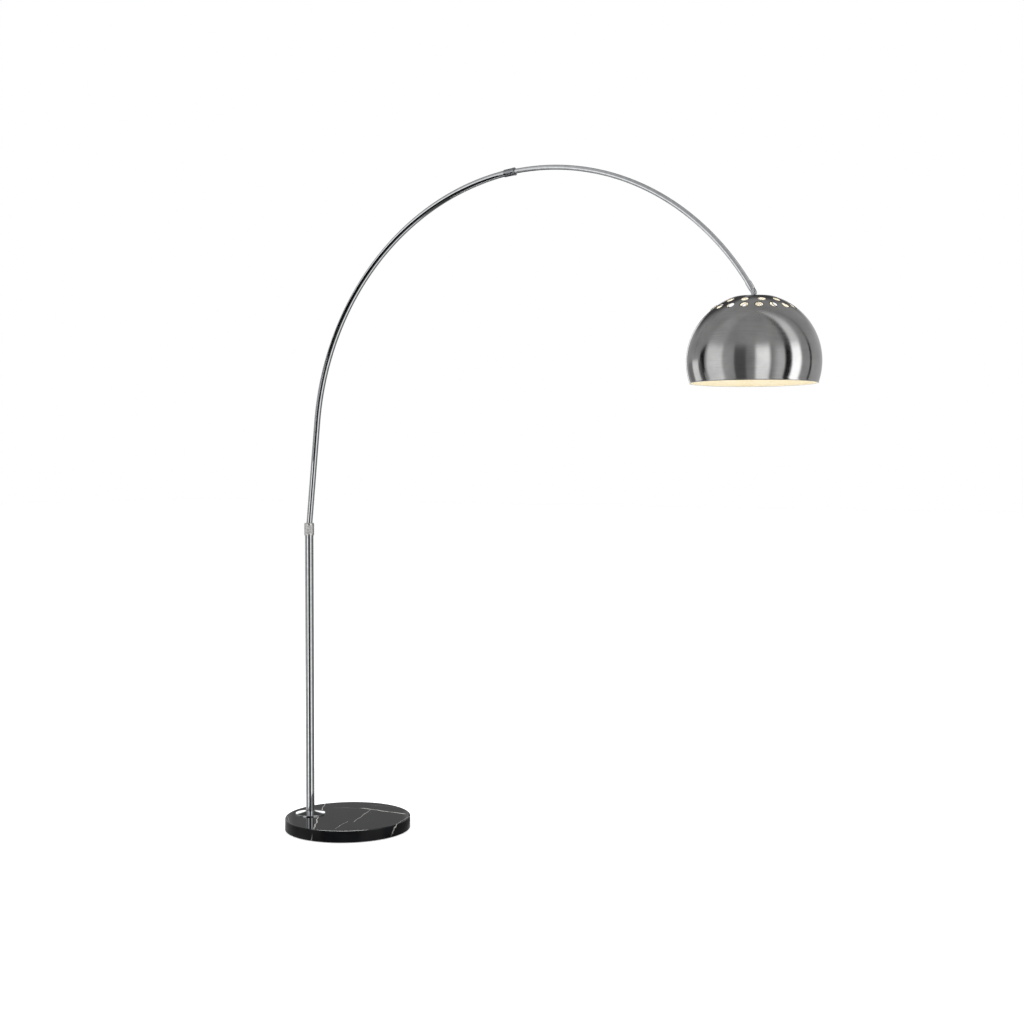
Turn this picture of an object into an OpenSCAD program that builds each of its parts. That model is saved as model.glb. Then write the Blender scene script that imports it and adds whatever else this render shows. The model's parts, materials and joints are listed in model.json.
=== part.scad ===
// Arc floor lamp: a stone base, an upright pole, two telescoping tubes bent to one
// circle, and a domed shade that tilts on a knuckle at the end of the arm.
// Frame: +Z up, +X along the arc towards the shade, origin on the floor under the
// middle of the base.

/* [Base] */
// Diameter of the stone disc
base_d = 350; // [300:5:420]
// Thickness of the stone disc
base_t = 32; // [26:1:45]
// Width of the polished arris on the top edge
base_arris = 1.6; // [0.5:0.1:3]
// Width of the arris on the bottom edge
base_foot_arris = 1; // [0.5:0.1:3]
// Thickness of the felt under the stone
felt_t = 2; // [1:0.5:5]
// How far the felt stops short of the stone's edge
felt_inset = 14; // [8:1:30]
// Distance from the middle of the base to the pole
pole_offset = 112; // [90:1:120]
// Angle between the arc and the line from the pole to the middle of the base
base_turn = 19; // [0:1:40]
// Diameter of the recess under the pole
recess_d = 52; // [48:1:60]
// Depth of the recess under the pole
recess_h = 18; // [16:0.5:20]
// Diameter of the drilled cord passage
passage_d = 12; // [10:0.5:13]

/* [Cord inlet] */
// Bore of the rubber grommet
grommet_bore = 6.5; // [5:0.5:8]
// Length of the grommet inside the stone
grommet_len = 10; // [6:1:16]
// Diameter of the grommet's flange
grommet_flange_d = 16; // [14:0.5:18]
// Thickness of the grommet's flange
grommet_flange_t = 2; // [1:0.5:3]

/* [Foot fixing] */
// Outer diameter of the threaded stud
stud_d = 16; // [14:0.5:18]
// Bore of the stud for the cord
stud_bore = 9; // [7:0.5:10]
// Length of the turned plug inside the pole
plug_h = 22; // [15:1:40]
// Radial space between the fixing washer and the recess
washer_room = 4; // [2:0.5:6]
// Thickness of the fixing washer
fix_washer_t = 2.5; // [2:0.5:3]
// Radial width of the spring washer
spring_washer_w = 4.5; // [3:0.5:6]
// Thickness of the spring washer
spring_washer_t = 1.6; // [1:0.2:2]
// Width across flats of the fixing nut
fix_nut_af = 24; // [22:0.5:27]
// Thickness of the fixing nut
fix_nut_t = 8; // [6:0.5:8]
// Diameter of the foot flange
flange_d = 83; // [70:1:100]
// Height of the foot flange at its rim
flange_rim_h = 3; // [2:0.5:5]
// Height of the foot flange at the pole
flange_h = 8.5; // [6:0.5:14]
// Sheet thickness of the foot flange
flange_wall = 1.2; // [0.8:0.1:2]

/* [Pole] */
// Outer diameter of the pole
pole_d = 24; // [20.5:0.1:30]
// Wall of the pole
pole_wall = 1.2; // [1:0.1:1.6]
// Length of the pole
pole_len = 796; // [600:1:1000]
// Travel of the arc up out of the pole
height_travel = 120; // [60:5:160]
// Length of the nylon bush in the pole
bush_len = 55; // [40:1:80]
// Thickness of the bush's flange
bush_flange_t = 2; // [1:0.5:3]
// Length of the nylon glide on the spigot
glide_len = 15; // [10:1:25]

/* [Locking collar] */
// Wall of the collar where it laps the pole
collar_wall = 1.84; // [1.6:0.02:4]
// Height of the collar
collar_h = 35; // [26:1:50]
// How far the collar reaches down over the pole
collar_lap = 7; // [5:0.5:12]
// Radius of the rounded shoulder on top of the collar
collar_round = 2.6; // [1:0.1:3]

/* [Arc] */
// Outer diameter of the lower tube
lower_d = 17; // [16.6:0.1:20.6]
// Wall of the lower tube
lower_wall = 1.2; // [0.8:0.1:1.3]
// Outer diameter of the upper tube
upper_d = 13; // [10.5:0.1:13.4]
// Wall of the upper tube
upper_wall = 1; // [0.6:0.1:1.2]
// Radius of the arc that both tubes are bent to
arc_r = 702; // [500:1:900]
// Lean of the straight stretch above the collar
lean = 6; // [3:0.5:6]
// Radius of the set in the tube inside the collar
lean_r = 300; // [280:5:400]
// Length of the straight stretch above the collar
straight_len = 279; // [60:1:400]
// Angle that the lower tube is bent through
lower_bend = 79.8; // [60:0.2:90]
// Angle of the upper tube that shows at rest
upper_show = 63; // [40:0.2:75]
// Angle of the upper tube held in the lower one at rest
upper_lap = 16; // [12:0.5:24]

/* [Arm lock] */
// Length of the twist sleeve
sleeve_len = 31; // [26:1:45]
// Wall of the sleeve at its back
sleeve_wall = 0.8; // [0.6:0.1:2]
// How much wider the sleeve is at its mouth, on the radius
sleeve_flare = 0.6; // [0.1:0.1:2]
// Radial space between the sleeve and the tubes
sleeve_gap = 0.35; // [0.3:0.05:0.6]
// How far the sleeve reaches past the lower tube
sleeve_past = 5; // [4.5:0.5:8]
// Thickness of the sleeve's front lip
sleeve_lip = 1.6; // [1:0.1:2]
// Length of the nylon collet
collet_len = 30; // [20:1:50]
// Thickness of the collet's flange
collet_flange_t = 1.5; // [1:0.1:2]

/* [Knuckle] */
// Wall of the arm's end ferrule
ferrule_wall = 1.05; // [0.9:0.05:2]
// How far the ferrule reaches back over the tube
ferrule_lap = 16; // [10:1:30]
// How far the ferrule reaches past the tube
ferrule_past = 3; // [2:0.5:6]
// Distance from the end of the tube to the pivot
pivot_reach = 12; // [12:0.5:16]
// Radius of the knuckle's rounded ends
knuckle_r = 6; // [5:0.1:6.4]
// Thickness of each cheek of the fork
cheek_t = 3; // [2:0.1:3.4]
// Thickness of the tongue between the cheeks
tongue_t = 4.6; // [3.6:0.1:5]
// Diameter of the pivot screw
pivot_d = 4; // [3:0.5:5]
// Diameter of the pivot screw's head
pivot_head_d = 7.2; // [6.5:0.1:9]
// Height of the pivot screw's head
pivot_head_h = 2.4; // [1.5:0.1:4]
// Height of the pivot above the shade's flat top
pivot_h = 11; // [10:0.5:16]

/* [Shade] */
// Diameter of the domed shade at its widest
shade_d = 314; // [260:2:400]
// Sheet thickness of the shade
shade_wall = 1; // [0.8:0.1:1.5]
// Height of the flat top above the shade's widest line
shade_top_h = 150; // [110:1:150]
// Depth of the rim below the shade's widest line
shade_rim_h = 49; // [40:1:70]
// Radius of the rolled bead at the rim
rim_bead_r = 1.6; // [1.2:0.1:3]
// Diameter of the vent holes
vent_d = 20.5; // [14:0.5:22]
// Number of vent holes in the outer ring
vent_n = 18; // [8:1:20]
// Angle of the outer ring of vents from the shade's axis
vent_polar = 38; // [37:0.5:48]
// Angle of the outer ring's first vent from +X
vent_turn = 0; // [-10:1:10]
// Number of vent holes in the inner ring
inner_vent_n = 12; // [6:1:14]
// Angle of the inner ring of vents from the shade's axis
inner_vent_polar = 28; // [24:0.5:29]
// Angle of the inner ring's first vent from +X
inner_vent_turn = 7; // [-15:1:15]

/* [Lampholder] */
// Diameter of the threaded nipple
nipple_d = 10; // [8:0.5:11]
// Bore of the threaded nipple
nipple_bore = 7; // [5:0.5:7]
// Diameter of the cap on top of the shade
cap_d = 26; // [20:1:40]
// Thickness of the cap on top of the shade
cap_t = 2.5; // [2:0.5:3]
// Diameter of the washer under the shade's top
inner_washer_d = 26; // [20:1:40]
// Thickness of the washer under the shade's top
inner_washer_t = 1.5; // [1:0.5:3]
// Width across flats of the lock nut
lock_nut_af = 14; // [14:0.5:17]
// Thickness of the lock nut
lock_nut_t = 3; // [2:0.5:5]
// Radial space between the thread shell and the lampholder
holder_room = 3.4; // [2:0.2:6]
// Wall of the lampholder
holder_wall = 2; // [1.5:0.5:2.5]
// Height of the lampholder's cap
holder_cap_h = 24; // [20:1:34]
// Height of the lampholder's body
holder_body_h = 34; // [32:1:44]
// Wall of the lampholder's ring
ring_wall = 3.5; // [2.5:0.5:8]
// Height of the lampholder's ring
holder_ring_h = 8; // [5:1:12]

/* [Bulb] */
// Outer diameter of the screwed bulb cap
bulb_cap_d = 26.4; // [25.8:0.1:27]
// Height of the screwed bulb cap
bulb_cap_h = 25; // [22:1:27]
// Diameter of the bulb's glass
bulb_d = 60; // [45:1:80]
// Distance from the cap to the middle of the bulb's round end
bulb_drop = 47; // [42:1:60]
// Thickness of the bulb's glass
bulb_wall = 0.8; // [0.5:0.1:1.2]

/* [Clearances] */
// Radial clearance of a turning or sliding fit
run_gap = 0.06; // [0.02:0.01:0.1]
// Radial clearance of an assembled fit that doesn't move
seat_gap = 0.05; // [0:0.01:0.1]
// Space between pieces that pass each other
pass_gap = 0.5; // [0.4:0.05:0.8]

/* [Hidden] */
$fn = 96;
weld = 0.5;
tube_fn = 64;
small_fn = 48;

// Base and pole
base_r = base_d / 2;
base_top = felt_t + base_t;
recess_top = felt_t + recess_h;
recess_margin = 2;
stud_r = stud_d / 2;
fix_washer_d = recess_d - 2 * washer_room;
spring_washer_d = stud_d + 2 * spring_washer_w;
stud_hole_gap = 0.6;
stud_low = felt_t + 2;
passage_z = felt_t + recess_h / 2;
pole_x = -pole_offset * cos(base_turn);
pole_y = -pole_offset * sin(base_turn);
pole_r = pole_d / 2;
pole_ri = pole_r - pole_wall;
lower_r = lower_d / 2;
lower_ri = lower_r - lower_wall;
upper_r = upper_d / 2;
upper_ri = upper_r - upper_wall;
pole_top = base_top + pole_len;
bush_top = pole_top + run_gap + bush_flange_t;
collar_bottom = pole_top - collar_lap;
collar_top = collar_bottom + collar_h;
collar_d = pole_d + 2 * (run_gap + collar_wall);
collar_r = collar_d / 2;

// Arc: lead-in from the pole, then one circle for both tubes
set_z = bush_top + pass_gap;
set_end_x = lean_r * (1 - cos(lean));
set_end_z = set_z + lean_r * sin(lean);
arc_start_x = set_end_x + straight_len * sin(lean);
arc_start_z = set_end_z + straight_len * cos(lean);
arc_cx = pole_x + arc_start_x + arc_r * cos(lean);
arc_cz = arc_start_z - arc_r * sin(lean);
phi_start = lean - 90;
phi_mouth = phi_start + lower_bend;
phi_upper_in = phi_mouth - upper_lap;
phi_end = phi_mouth + upper_show;
spigot_bottom = pole_top - bush_len - height_travel - glide_len - pass_gap * 4;
glide_floor = 2;
bend_draw = 0.03;
weld_lap = 0.4;

// Angle in degrees that a length takes along the arc
function arc_deg(len) = len / arc_r * 180 / PI;
// How far a straight piece of the given half length stands off the arc at its ends
function sagitta(half) = half * half / (2 * arc_r);
sleeve_mid = phi_mouth - arc_deg(sleeve_len / 2 - sleeve_past);
sleeve_bore = lower_r + sagitta(sleeve_len / 2) + sleeve_gap;
sleeve_back_d = 2 * (sleeve_bore + sleeve_wall);
sleeve_mouth_d = sleeve_back_d + 2 * sleeve_flare;
lip_bore = upper_r + sagitta(sleeve_len / 2) + pass_gap;

// Knuckle and shade
pivot_x = arc_cx + arc_r * sin(phi_end) + pivot_reach * cos(phi_end);
pivot_z = arc_cz + arc_r * cos(phi_end) - pivot_reach * sin(phi_end);
pivot_r = pivot_d / 2;
ferrule_d = upper_d + 2 * (seat_gap + ferrule_wall);
ferrule_r = ferrule_d / 2;
fork_r = ferrule_r - 0.4;
fork_inner = tongue_t / 2 + pass_gap;
fork_outer = fork_inner + cheek_t;
fork_base_t = 2;
tongue_foot_r = 7;
tongue_foot_t = 1.6;
shade_flat_z = pivot_z - pivot_h;
shade_cz = shade_flat_z - shade_top_h;
shade_r = shade_d / 2;
nipple_r = nipple_d / 2;
shade_under = shade_flat_z - shade_wall;
nut_z = shade_under - inner_washer_t - lock_nut_t;
holder_top = nut_z - 1;
holder_roof = 3;
nipple_low = holder_top - holder_roof - 4;
body_top = holder_top - holder_cap_h;
body_low = body_top - holder_body_h;
block_t = 6;
shell_wall = 0.5;
shell_gap = 0.4;
shell_r = bulb_cap_d / 2 + shell_gap + shell_wall;
holder_d = 2 * (shell_r + holder_room + holder_wall);
holder_r = holder_d / 2;
holder_ring_d = holder_d + 2 * ring_wall;
insulator_h = 3;
contact_h = 1.4;
cap_top = body_top - block_t - contact_h * 2 - insulator_h;
cap_low = cap_top - bulb_cap_h;
bulb_cz = cap_low - bulb_drop;
bulb_r = bulb_d / 2;
neck_r = bulb_cap_d / 2 - 1;

module at_pole() translate([pole_x, pole_y, 0]) children();
module at_shade(z = 0) translate([pivot_x, pole_y, z]) children();

// Places children at an angle on the arc, with +Z along it towards the shade
module on_arc(phi) {
    translate([arc_cx + arc_r * sin(phi), pole_y, arc_cz + arc_r * cos(phi)])
        rotate([0, 90 + phi, 0])
            children();
}

// Sweeps a flat ring or disc along the arc from one angle to the other
module along_arc(phi_a, phi_b, r_out, r_in = 0) {
    translate([arc_cx, pole_y, arc_cz])
        rotate([90, 0, 0])
            rotate([0, 0, 90 - phi_b])
                rotate_extrude(angle = phi_b - phi_a, $fn = 360)
                    translate([arc_r, 0])
                        ring_2d(r_out, r_in);
}

module ring_2d(r_out, r_in = 0) {
    difference() {
        circle(r_out, $fn = tube_fn);
        if (r_in > 0) circle(r_in, $fn = tube_fn);
    }
}

module tube(z_low, z_high, r_out, r_in) {
    translate([0, 0, z_low])
        difference() {
            cylinder(h = z_high - z_low, r = r_out);
            translate([0, 0, -1]) cylinder(h = z_high - z_low + 2, r = r_in);
        }
}

module hex_nut(z_low, t, af, bore_r) {
    translate([0, 0, z_low])
        difference() {
            cylinder(h = t, r = af / 2 / cos(30), $fn = 6);
            translate([0, 0, -1]) cylinder(h = t + 2, r = bore_r);
        }
}

// ---- Base and pole ----

module felt_pad() {
    color("#2b2b2b")
        difference() {
            cylinder(h = felt_t, r = base_r - felt_inset);
            at_pole() translate([0, 0, -1]) cylinder(h = felt_t + 2, r = recess_d / 2 + recess_margin);
        }
}

module marble_base() {
    color("#1d1d1f")
        difference() {
            rotate_extrude($fn = 180)
                polygon([
                    [0, felt_t],
                    [base_r - base_foot_arris, felt_t],
                    [base_r, felt_t + base_foot_arris],
                    [base_r, base_top - base_arris],
                    [base_r - base_arris, base_top],
                    [0, base_top]
                ]);
            at_pole() translate([0, 0, felt_t - 1]) cylinder(h = recess_h + 1, r = recess_d / 2);
            at_pole() cylinder(h = base_top + 1, r = stud_r + stud_hole_gap);
            along_passage() cylinder(h = base_r, r = passage_d / 2);
        }
}

// Starts at the pole's axis and runs straight out through the nearest edge of the base
module along_passage(start = 0) {
    rotate([0, 0, 180 + base_turn])
        translate([pole_offset + start, 0, passage_z])
            rotate([0, 90, 0])
                children();
}

module cord_grommet() {
    rim = base_r - pole_offset;
    color("#161616")
        along_passage(rim - grommet_len)
            difference() {
                union() {
                    cylinder(h = grommet_len, r = passage_d / 2, $fn = small_fn);
                    translate([0, 0, grommet_len])
                        cylinder(h = grommet_flange_t, r = grommet_flange_d / 2, $fn = small_fn);
                }
                translate([0, 0, -1])
                    cylinder(h = grommet_len + grommet_flange_t + 2, r = grommet_bore / 2, $fn = small_fn);
            }
}

module fixing_washer() {
    color("#b9bcc0")
        at_pole() tube(recess_top - fix_washer_t, recess_top, fix_washer_d / 2, stud_r + seat_gap);
}

module spring_washer() {
    top = recess_top - fix_washer_t;
    slot_w = 1.2;
    color("#8d9095")
        at_pole()
            difference() {
                tube(top - spring_washer_t, top, spring_washer_d / 2, stud_r + seat_gap);
                translate([0, -slot_w / 2, top - spring_washer_t - 1])
                    cube([spring_washer_d, slot_w, spring_washer_t + 2]);
            }
}

module fixing_nut() {
    top = recess_top - fix_washer_t - spring_washer_t;
    color("#c3c6ca")
        at_pole() hex_nut(top - fix_nut_t, fix_nut_t, fix_nut_af, stud_r + seat_gap);
}

module pole_plug() {
    color("#a7aaae")
        at_pole()
            difference() {
                union() {
                    translate([0, 0, stud_low]) cylinder(h = base_top - stud_low + 1, r = stud_r);
                    translate([0, 0, base_top]) cylinder(h = plug_h, r = pole_ri - seat_gap);
                }
                cylinder(h = base_top + plug_h + 1, r = stud_bore / 2);
            }
}

module foot_flange() {
    r_in = pole_r + seat_gap;
    r_out = flange_d / 2;
    neck = 2;
    color("#d7dadd")
        at_pole()
            rotate_extrude()
                polygon([
                    [r_out - flange_wall, base_top],
                    [r_out, base_top],
                    [r_out, base_top + flange_rim_h - 0.8],
                    [r_out - 0.8, base_top + flange_rim_h],
                    [r_in + neck, base_top + flange_h],
                    [r_in, base_top + flange_h],
                    [r_in, base_top + flange_h - flange_wall],
                    [r_in + neck, base_top + flange_h - flange_wall],
                    [r_out - flange_wall, base_top + flange_rim_h - flange_wall]
                ]);
}

module pole_tube() {
    color("#d2d5d8")
        at_pole() tube(base_top, pole_top, pole_r, pole_ri);
}

module pole_bush() {
    flange_r = pole_r - pass_gap;
    color("#e9e6dc")
        at_pole()
            difference() {
                union() {
                    translate([0, 0, pole_top - bush_len]) cylinder(h = bush_len + run_gap, r = pole_ri - run_gap);
                    translate([0, 0, pole_top + run_gap]) cylinder(h = bush_flange_t, r = flange_r);
                }
                translate([0, 0, pole_top - bush_len - 1])
                    cylinder(h = bush_len + bush_flange_t + 3, r = lower_r + run_gap);
            }
}

module locking_collar() {
    shelf = bush_top + pass_gap;
    top_bore = max(lower_r + set_end_x + pass_gap, lower_r / cos(lean) + pass_gap);
    color("#c9c9c6")
        at_pole()
            difference() {
                rotate_extrude()
                    union() {
                        translate([0, collar_bottom]) square([collar_r, collar_h - collar_round]);
                        translate([0, collar_bottom]) square([collar_r - collar_round, collar_h]);
                        translate([collar_r - collar_round, collar_top - collar_round])
                            circle(collar_round, $fn = small_fn);
                    }
                translate([0, 0, collar_bottom - 1])
                    cylinder(h = shelf - collar_bottom + 1, r = pole_r + run_gap);
                translate([0, 0, shelf - weld_lap]) cylinder(h = collar_top - shelf + 1, r = top_bore);
            }
}

// ---- Lower arc ----

// Upright spigot inside the pole
module spigot() {
    at_pole() tube(spigot_bottom, set_z, lower_r, lower_ri);
}

// Slight set in the tube, hidden by the collar, that starts its lean
module lean_set() {
    lap = weld_lap / lean_r * 180 / PI;
    at_pole()
        translate([lean_r, 0, set_z])
            rotate([90, 0, 0])
                rotate([0, 0, 180 - lean - lap])
                    rotate_extrude(angle = lean + 2 * lap, $fn = 360)
                        translate([lean_r, 0])
                            ring_2d(lower_r - bend_draw, lower_ri + bend_draw);
}

// Leaning straight between the set and the bend
module lean_straight() {
    at_pole()
        translate([set_end_x, 0, set_end_z])
            rotate([0, lean, 0])
                tube(0, straight_len, lower_r, lower_ri);
}

// Bent stretches are drawn thinner by a hair and reach a hair into the straight ones
module lower_arc_tube() {
    color("#d0d3d6")
        union() {
            spigot();
            lean_set();
            lean_straight();
            along_arc(phi_start - arc_deg(weld_lap), phi_mouth, lower_r - bend_draw, lower_ri + bend_draw);
        }
}

module spigot_glide() {
    color("#e9e6dc")
        at_pole()
            difference() {
                translate([0, 0, spigot_bottom - glide_floor])
                    cylinder(h = glide_len + glide_floor, r = pole_ri - run_gap);
                translate([0, 0, spigot_bottom])
                    cylinder(h = glide_len + 1, r = lower_r + seat_gap);
                translate([0, 0, spigot_bottom - glide_floor - 1])
                    cylinder(h = glide_floor + 2, r = lower_ri - 1);
            }
}

module arm_collet() {
    color("#e9e6dc")
        difference() {
            union() {
                along_arc(phi_mouth - arc_deg(collet_len), phi_mouth + arc_deg(weld), lower_ri - seat_gap);
                along_arc(phi_mouth, phi_mouth + arc_deg(collet_flange_t), lower_r);
            }
            along_arc(
                phi_mouth - arc_deg(collet_len + 1), phi_mouth + arc_deg(collet_flange_t + 1),
                upper_r + run_gap
            );
        }
}

module lock_sleeve() {
    half = sleeve_len / 2;
    color("#8f9296")
        on_arc(sleeve_mid)
            difference() {
                translate([0, 0, -half])
                    cylinder(h = sleeve_len, r1 = sleeve_back_d / 2, r2 = sleeve_mouth_d / 2);
                translate([0, 0, -half - 1])
                    cylinder(h = sleeve_len + 1 - sleeve_lip, r = sleeve_bore);
                translate([0, 0, -half - 1])
                    cylinder(h = sleeve_len + 2, r = lip_bore);
            }
}

// ---- Upper arc and knuckle ----

module upper_arc_tube() {
    color("#cfd2d5")
        along_arc(phi_upper_in, phi_end, upper_r, upper_ri);
}

module arm_glide() {
    color("#e9e6dc")
        along_arc(phi_upper_in, phi_upper_in + arc_deg(glide_len), lower_ri - run_gap, upper_r + seat_gap);
}

module end_ferrule() {
    color("#bfc2c6")
        difference() {
            on_arc(phi_end)
                translate([0, 0, -ferrule_lap])
                    cylinder(h = ferrule_lap + ferrule_past, r = ferrule_r);
            along_arc(phi_end - arc_deg(ferrule_lap + 2), phi_end, upper_r + seat_gap);
            on_arc(phi_end)
                translate([0, 0, -1])
                    cylinder(h = ferrule_past + 2, r = upper_ri - 1, $fn = small_fn);
        }
}

// One cheek: rounded at the pivot, square where it meets the fork's base
module cheek(side) {
    y_in = side > 0 ? fork_inner : -fork_outer;
    translate([0, y_in, 0])
        rotate([-90, 0, 0])
            linear_extrude(height = cheek_t)
                difference() {
                    union() {
                        translate([0, -pivot_reach]) circle(knuckle_r, $fn = small_fn);
                        translate([-knuckle_r, -pivot_reach])
                            square([2 * knuckle_r, pivot_reach - ferrule_past]);
                    }
                    translate([0, -pivot_reach]) circle(pivot_r, $fn = small_fn);
                }
}

module swivel_fork() {
    hole_r = min(upper_ri - 1, knuckle_r - 2);
    color("#c7cace")
        on_arc(phi_end)
            union() {
                difference() {
                    translate([0, 0, ferrule_past])
                        cylinder(h = fork_base_t, r = fork_r, $fn = small_fn);
                    translate([0, 0, ferrule_past - 1])
                        cylinder(h = fork_base_t + 2, r = hole_r, $fn = small_fn);
                }
                intersection() {
                    translate([0, 0, ferrule_past])
                        cylinder(h = pivot_reach + knuckle_r, r = fork_r, $fn = small_fn);
                    union() {
                        cheek(1);
                        cheek(-1);
                    }
                }
            }
}

module at_pivot() translate([pivot_x, pole_y, pivot_z]) rotate([-90, 0, 0]) children();

module pivot_screw() {
    tail = fork_outer + 3;
    color("#dcdfe2")
        at_pivot()
            union() {
                translate([0, 0, -fork_outer]) cylinder(h = fork_outer + tail, r = pivot_r, $fn = small_fn);
                translate([0, 0, -fork_outer - pivot_head_h])
                    difference() {
                        cylinder(h = pivot_head_h, r = pivot_head_d / 2, $fn = small_fn);
                        translate([0, 0, -1]) cylinder(h = 2.2, r = pivot_r * 0.7, $fn = 6);
                    }
            }
}

module pivot_nut() {
    nut_t = 3.2;
    dome_r = pivot_head_d / 2 - 0.2;
    color("#dcdfe2")
        at_pivot()
            translate([0, 0, fork_outer])
                difference() {
                    union() {
                        cylinder(h = nut_t, r = pivot_head_d / 2 / cos(30), $fn = 6);
                        translate([0, 0, nut_t]) cylinder(h = 1.2, r = dome_r, $fn = small_fn);
                    }
                    translate([0, 0, -1]) cylinder(h = nut_t + 1, r = pivot_r + seat_gap, $fn = small_fn);
                }
}

module swivel_tongue() {
    foot_z = shade_flat_z + cap_t;
    color("#c7cace")
        difference() {
            union() {
                at_pivot()
                    translate([0, 0, -tongue_t / 2])
                        cylinder(h = tongue_t, r = knuckle_r, $fn = small_fn);
                at_shade(foot_z)
                    translate([-knuckle_r + 0.5, -tongue_t / 2, 0])
                        cube([2 * knuckle_r - 1, tongue_t, pivot_h - cap_t]);
                at_shade(foot_z) cylinder(h = tongue_foot_t, r = tongue_foot_r, $fn = small_fn);
            }
            at_pivot()
                translate([0, 0, -tongue_t])
                    cylinder(h = 2 * tongue_t, r = pivot_r + run_gap, $fn = small_fn);
        }
}

// ---- Shade ----

module shade_cap() {
    color("#cdd0d3")
        at_shade(shade_flat_z)
            difference() {
                rotate_extrude()
                    polygon([
                        [0, 0], [cap_d / 2, 0], [cap_d / 2, cap_t * 0.4],
                        [cap_d / 2 - cap_t, cap_t], [0, cap_t]
                    ]);
                translate([0, 0, -1]) cylinder(h = cap_t + 2, r = nipple_r + seat_gap);
            }
}

// Half outline of a dome cut off flat at the top and at the rim
module dome_2d(r, top) {
    intersection() {
        circle(r, $fn = 240);
        translate([0, -shade_rim_h]) square([r + 1, shade_rim_h + top]);
    }
}

// One ring of round vents, each drilled square to the dome
module vent_ring(count, polar, turn) {
    for (i = [0 : count - 1])
        rotate([0, 0, turn + i * 360 / count])
            rotate([0, polar, 0])
                translate([0, 0, shade_r - 20])
                    cylinder(h = 40, r = vent_d / 2, $fn = small_fn);
}

module shade_dome() {
    rim_r = sqrt(shade_r * shade_r - shade_rim_h * shade_rim_h);
    color("#8c8c8c")
        at_shade(shade_cz)
            difference() {
                rotate_extrude($fn = 240)
                    union() {
                        difference() {
                            dome_2d(shade_r, shade_top_h);
                            dome_2d(shade_r - shade_wall, shade_top_h - shade_wall);
                        }
                        translate([rim_r - rim_bead_r * 0.6, -shade_rim_h]) circle(rim_bead_r, $fn = small_fn);
                    }
                translate([0, 0, shade_top_h - 2 * shade_wall])
                    cylinder(h = 4 * shade_wall, r = nipple_r + seat_gap);
                vent_ring(vent_n, vent_polar, vent_turn);
                vent_ring(inner_vent_n, inner_vent_polar, inner_vent_turn);
            }
}

module inner_washer() {
    color("#b9bcc0")
        at_shade() tube(shade_under - inner_washer_t, shade_under, inner_washer_d / 2, nipple_r + seat_gap);
}

module lock_nut() {
    color("#c3c6ca")
        at_shade() hex_nut(nut_z, lock_nut_t, lock_nut_af, nipple_r + seat_gap);
}

module threaded_nipple() {
    color("#b7a268")
        at_shade() tube(nipple_low, shade_flat_z + cap_t, nipple_r, nipple_bore / 2);
}

// ---- Lampholder ----

module lampholder_cap() {
    shoulder = 5;
    color("#f0eee8")
        at_shade(body_top)
            difference() {
                rotate_extrude()
                    polygon([
                        [0, 0], [holder_r, 0], [holder_r, holder_cap_h - shoulder],
                        [holder_r - shoulder, holder_cap_h], [0, holder_cap_h]
                    ]);
                translate([0, 0, -1])
                    cylinder(h = holder_cap_h - holder_roof - shoulder + 1, r = holder_r - holder_wall);
                cylinder(h = holder_cap_h + 1, r = nipple_r + seat_gap);
            }
}

module lampholder_body() {
    color("#f0eee8")
        at_shade() tube(body_low, body_top, holder_r - seat_gap, holder_r - holder_wall);
}

module lampholder_ring() {
    color("#f0eee8")
        at_shade() tube(body_low, body_low + holder_ring_h, holder_ring_d / 2, holder_r);
}

module contact_block() {
    wire_r = 1.6;
    color("#d8d2c4")
        at_shade(body_top - block_t)
            difference() {
                cylinder(h = block_t, r = holder_r - holder_wall - seat_gap);
                for (side = [-1, 1])
                    translate([side * holder_r / 2, 0, -1])
                        cylinder(h = block_t + 2, r = wire_r, $fn = small_fn);
            }
}

module centre_contact() {
    leaf = [12, 5];
    color("#c8a24a")
        at_shade(body_top - block_t - contact_h)
            translate([-leaf[0] / 2, -leaf[1] / 2, 0])
                cube([leaf[0], leaf[1], contact_h]);
}

module thread_shell() {
    color("#c9a552")
        at_shade() tube(body_low + 4, body_top - block_t, shell_r, shell_r - shell_wall);
}

// ---- Bulb ----

module bulb_cap() {
    color("#c6c8ca")
        at_shade() tube(cap_low, cap_top, bulb_cap_d / 2, bulb_cap_d / 2 - shell_wall);
}

module bulb_insulator() {
    color("#26262a")
        at_shade(cap_top)
            cylinder(h = insulator_h, r1 = bulb_cap_d / 2 - shell_wall, r2 = bulb_cap_d / 4);
}

module bulb_contact() {
    color("#b9bbbd")
        at_shade(cap_top + insulator_h)
            cylinder(h = contact_h, r = bulb_cap_d / 6, $fn = small_fn);
}

// Pear outline: a round end and a waisted neck, both as one turned profile
module bulb_2d(inset) {
    r = bulb_r - inset;
    join_a = 52;
    neck = neck_r - inset;
    intersection() {
        union() {
            circle(r, $fn = 120);
            polygon([
                [0, 0],
                [r * sin(join_a), r * cos(join_a)],
                [neck, bulb_drop - 6],
                [neck, bulb_drop + 4],
                [0, bulb_drop + 4]
            ]);
        }
        translate([0, -bulb_r - 1]) square([bulb_r + 1, bulb_r + bulb_drop + 5 - inset]);
    }
}

module bulb_glass() {
    color("#fff4d6")
        at_shade(bulb_cz)
            rotate_extrude($fn = 120)
                difference() {
                    bulb_2d(0);
                    bulb_2d(bulb_wall);
                }
}

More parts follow.
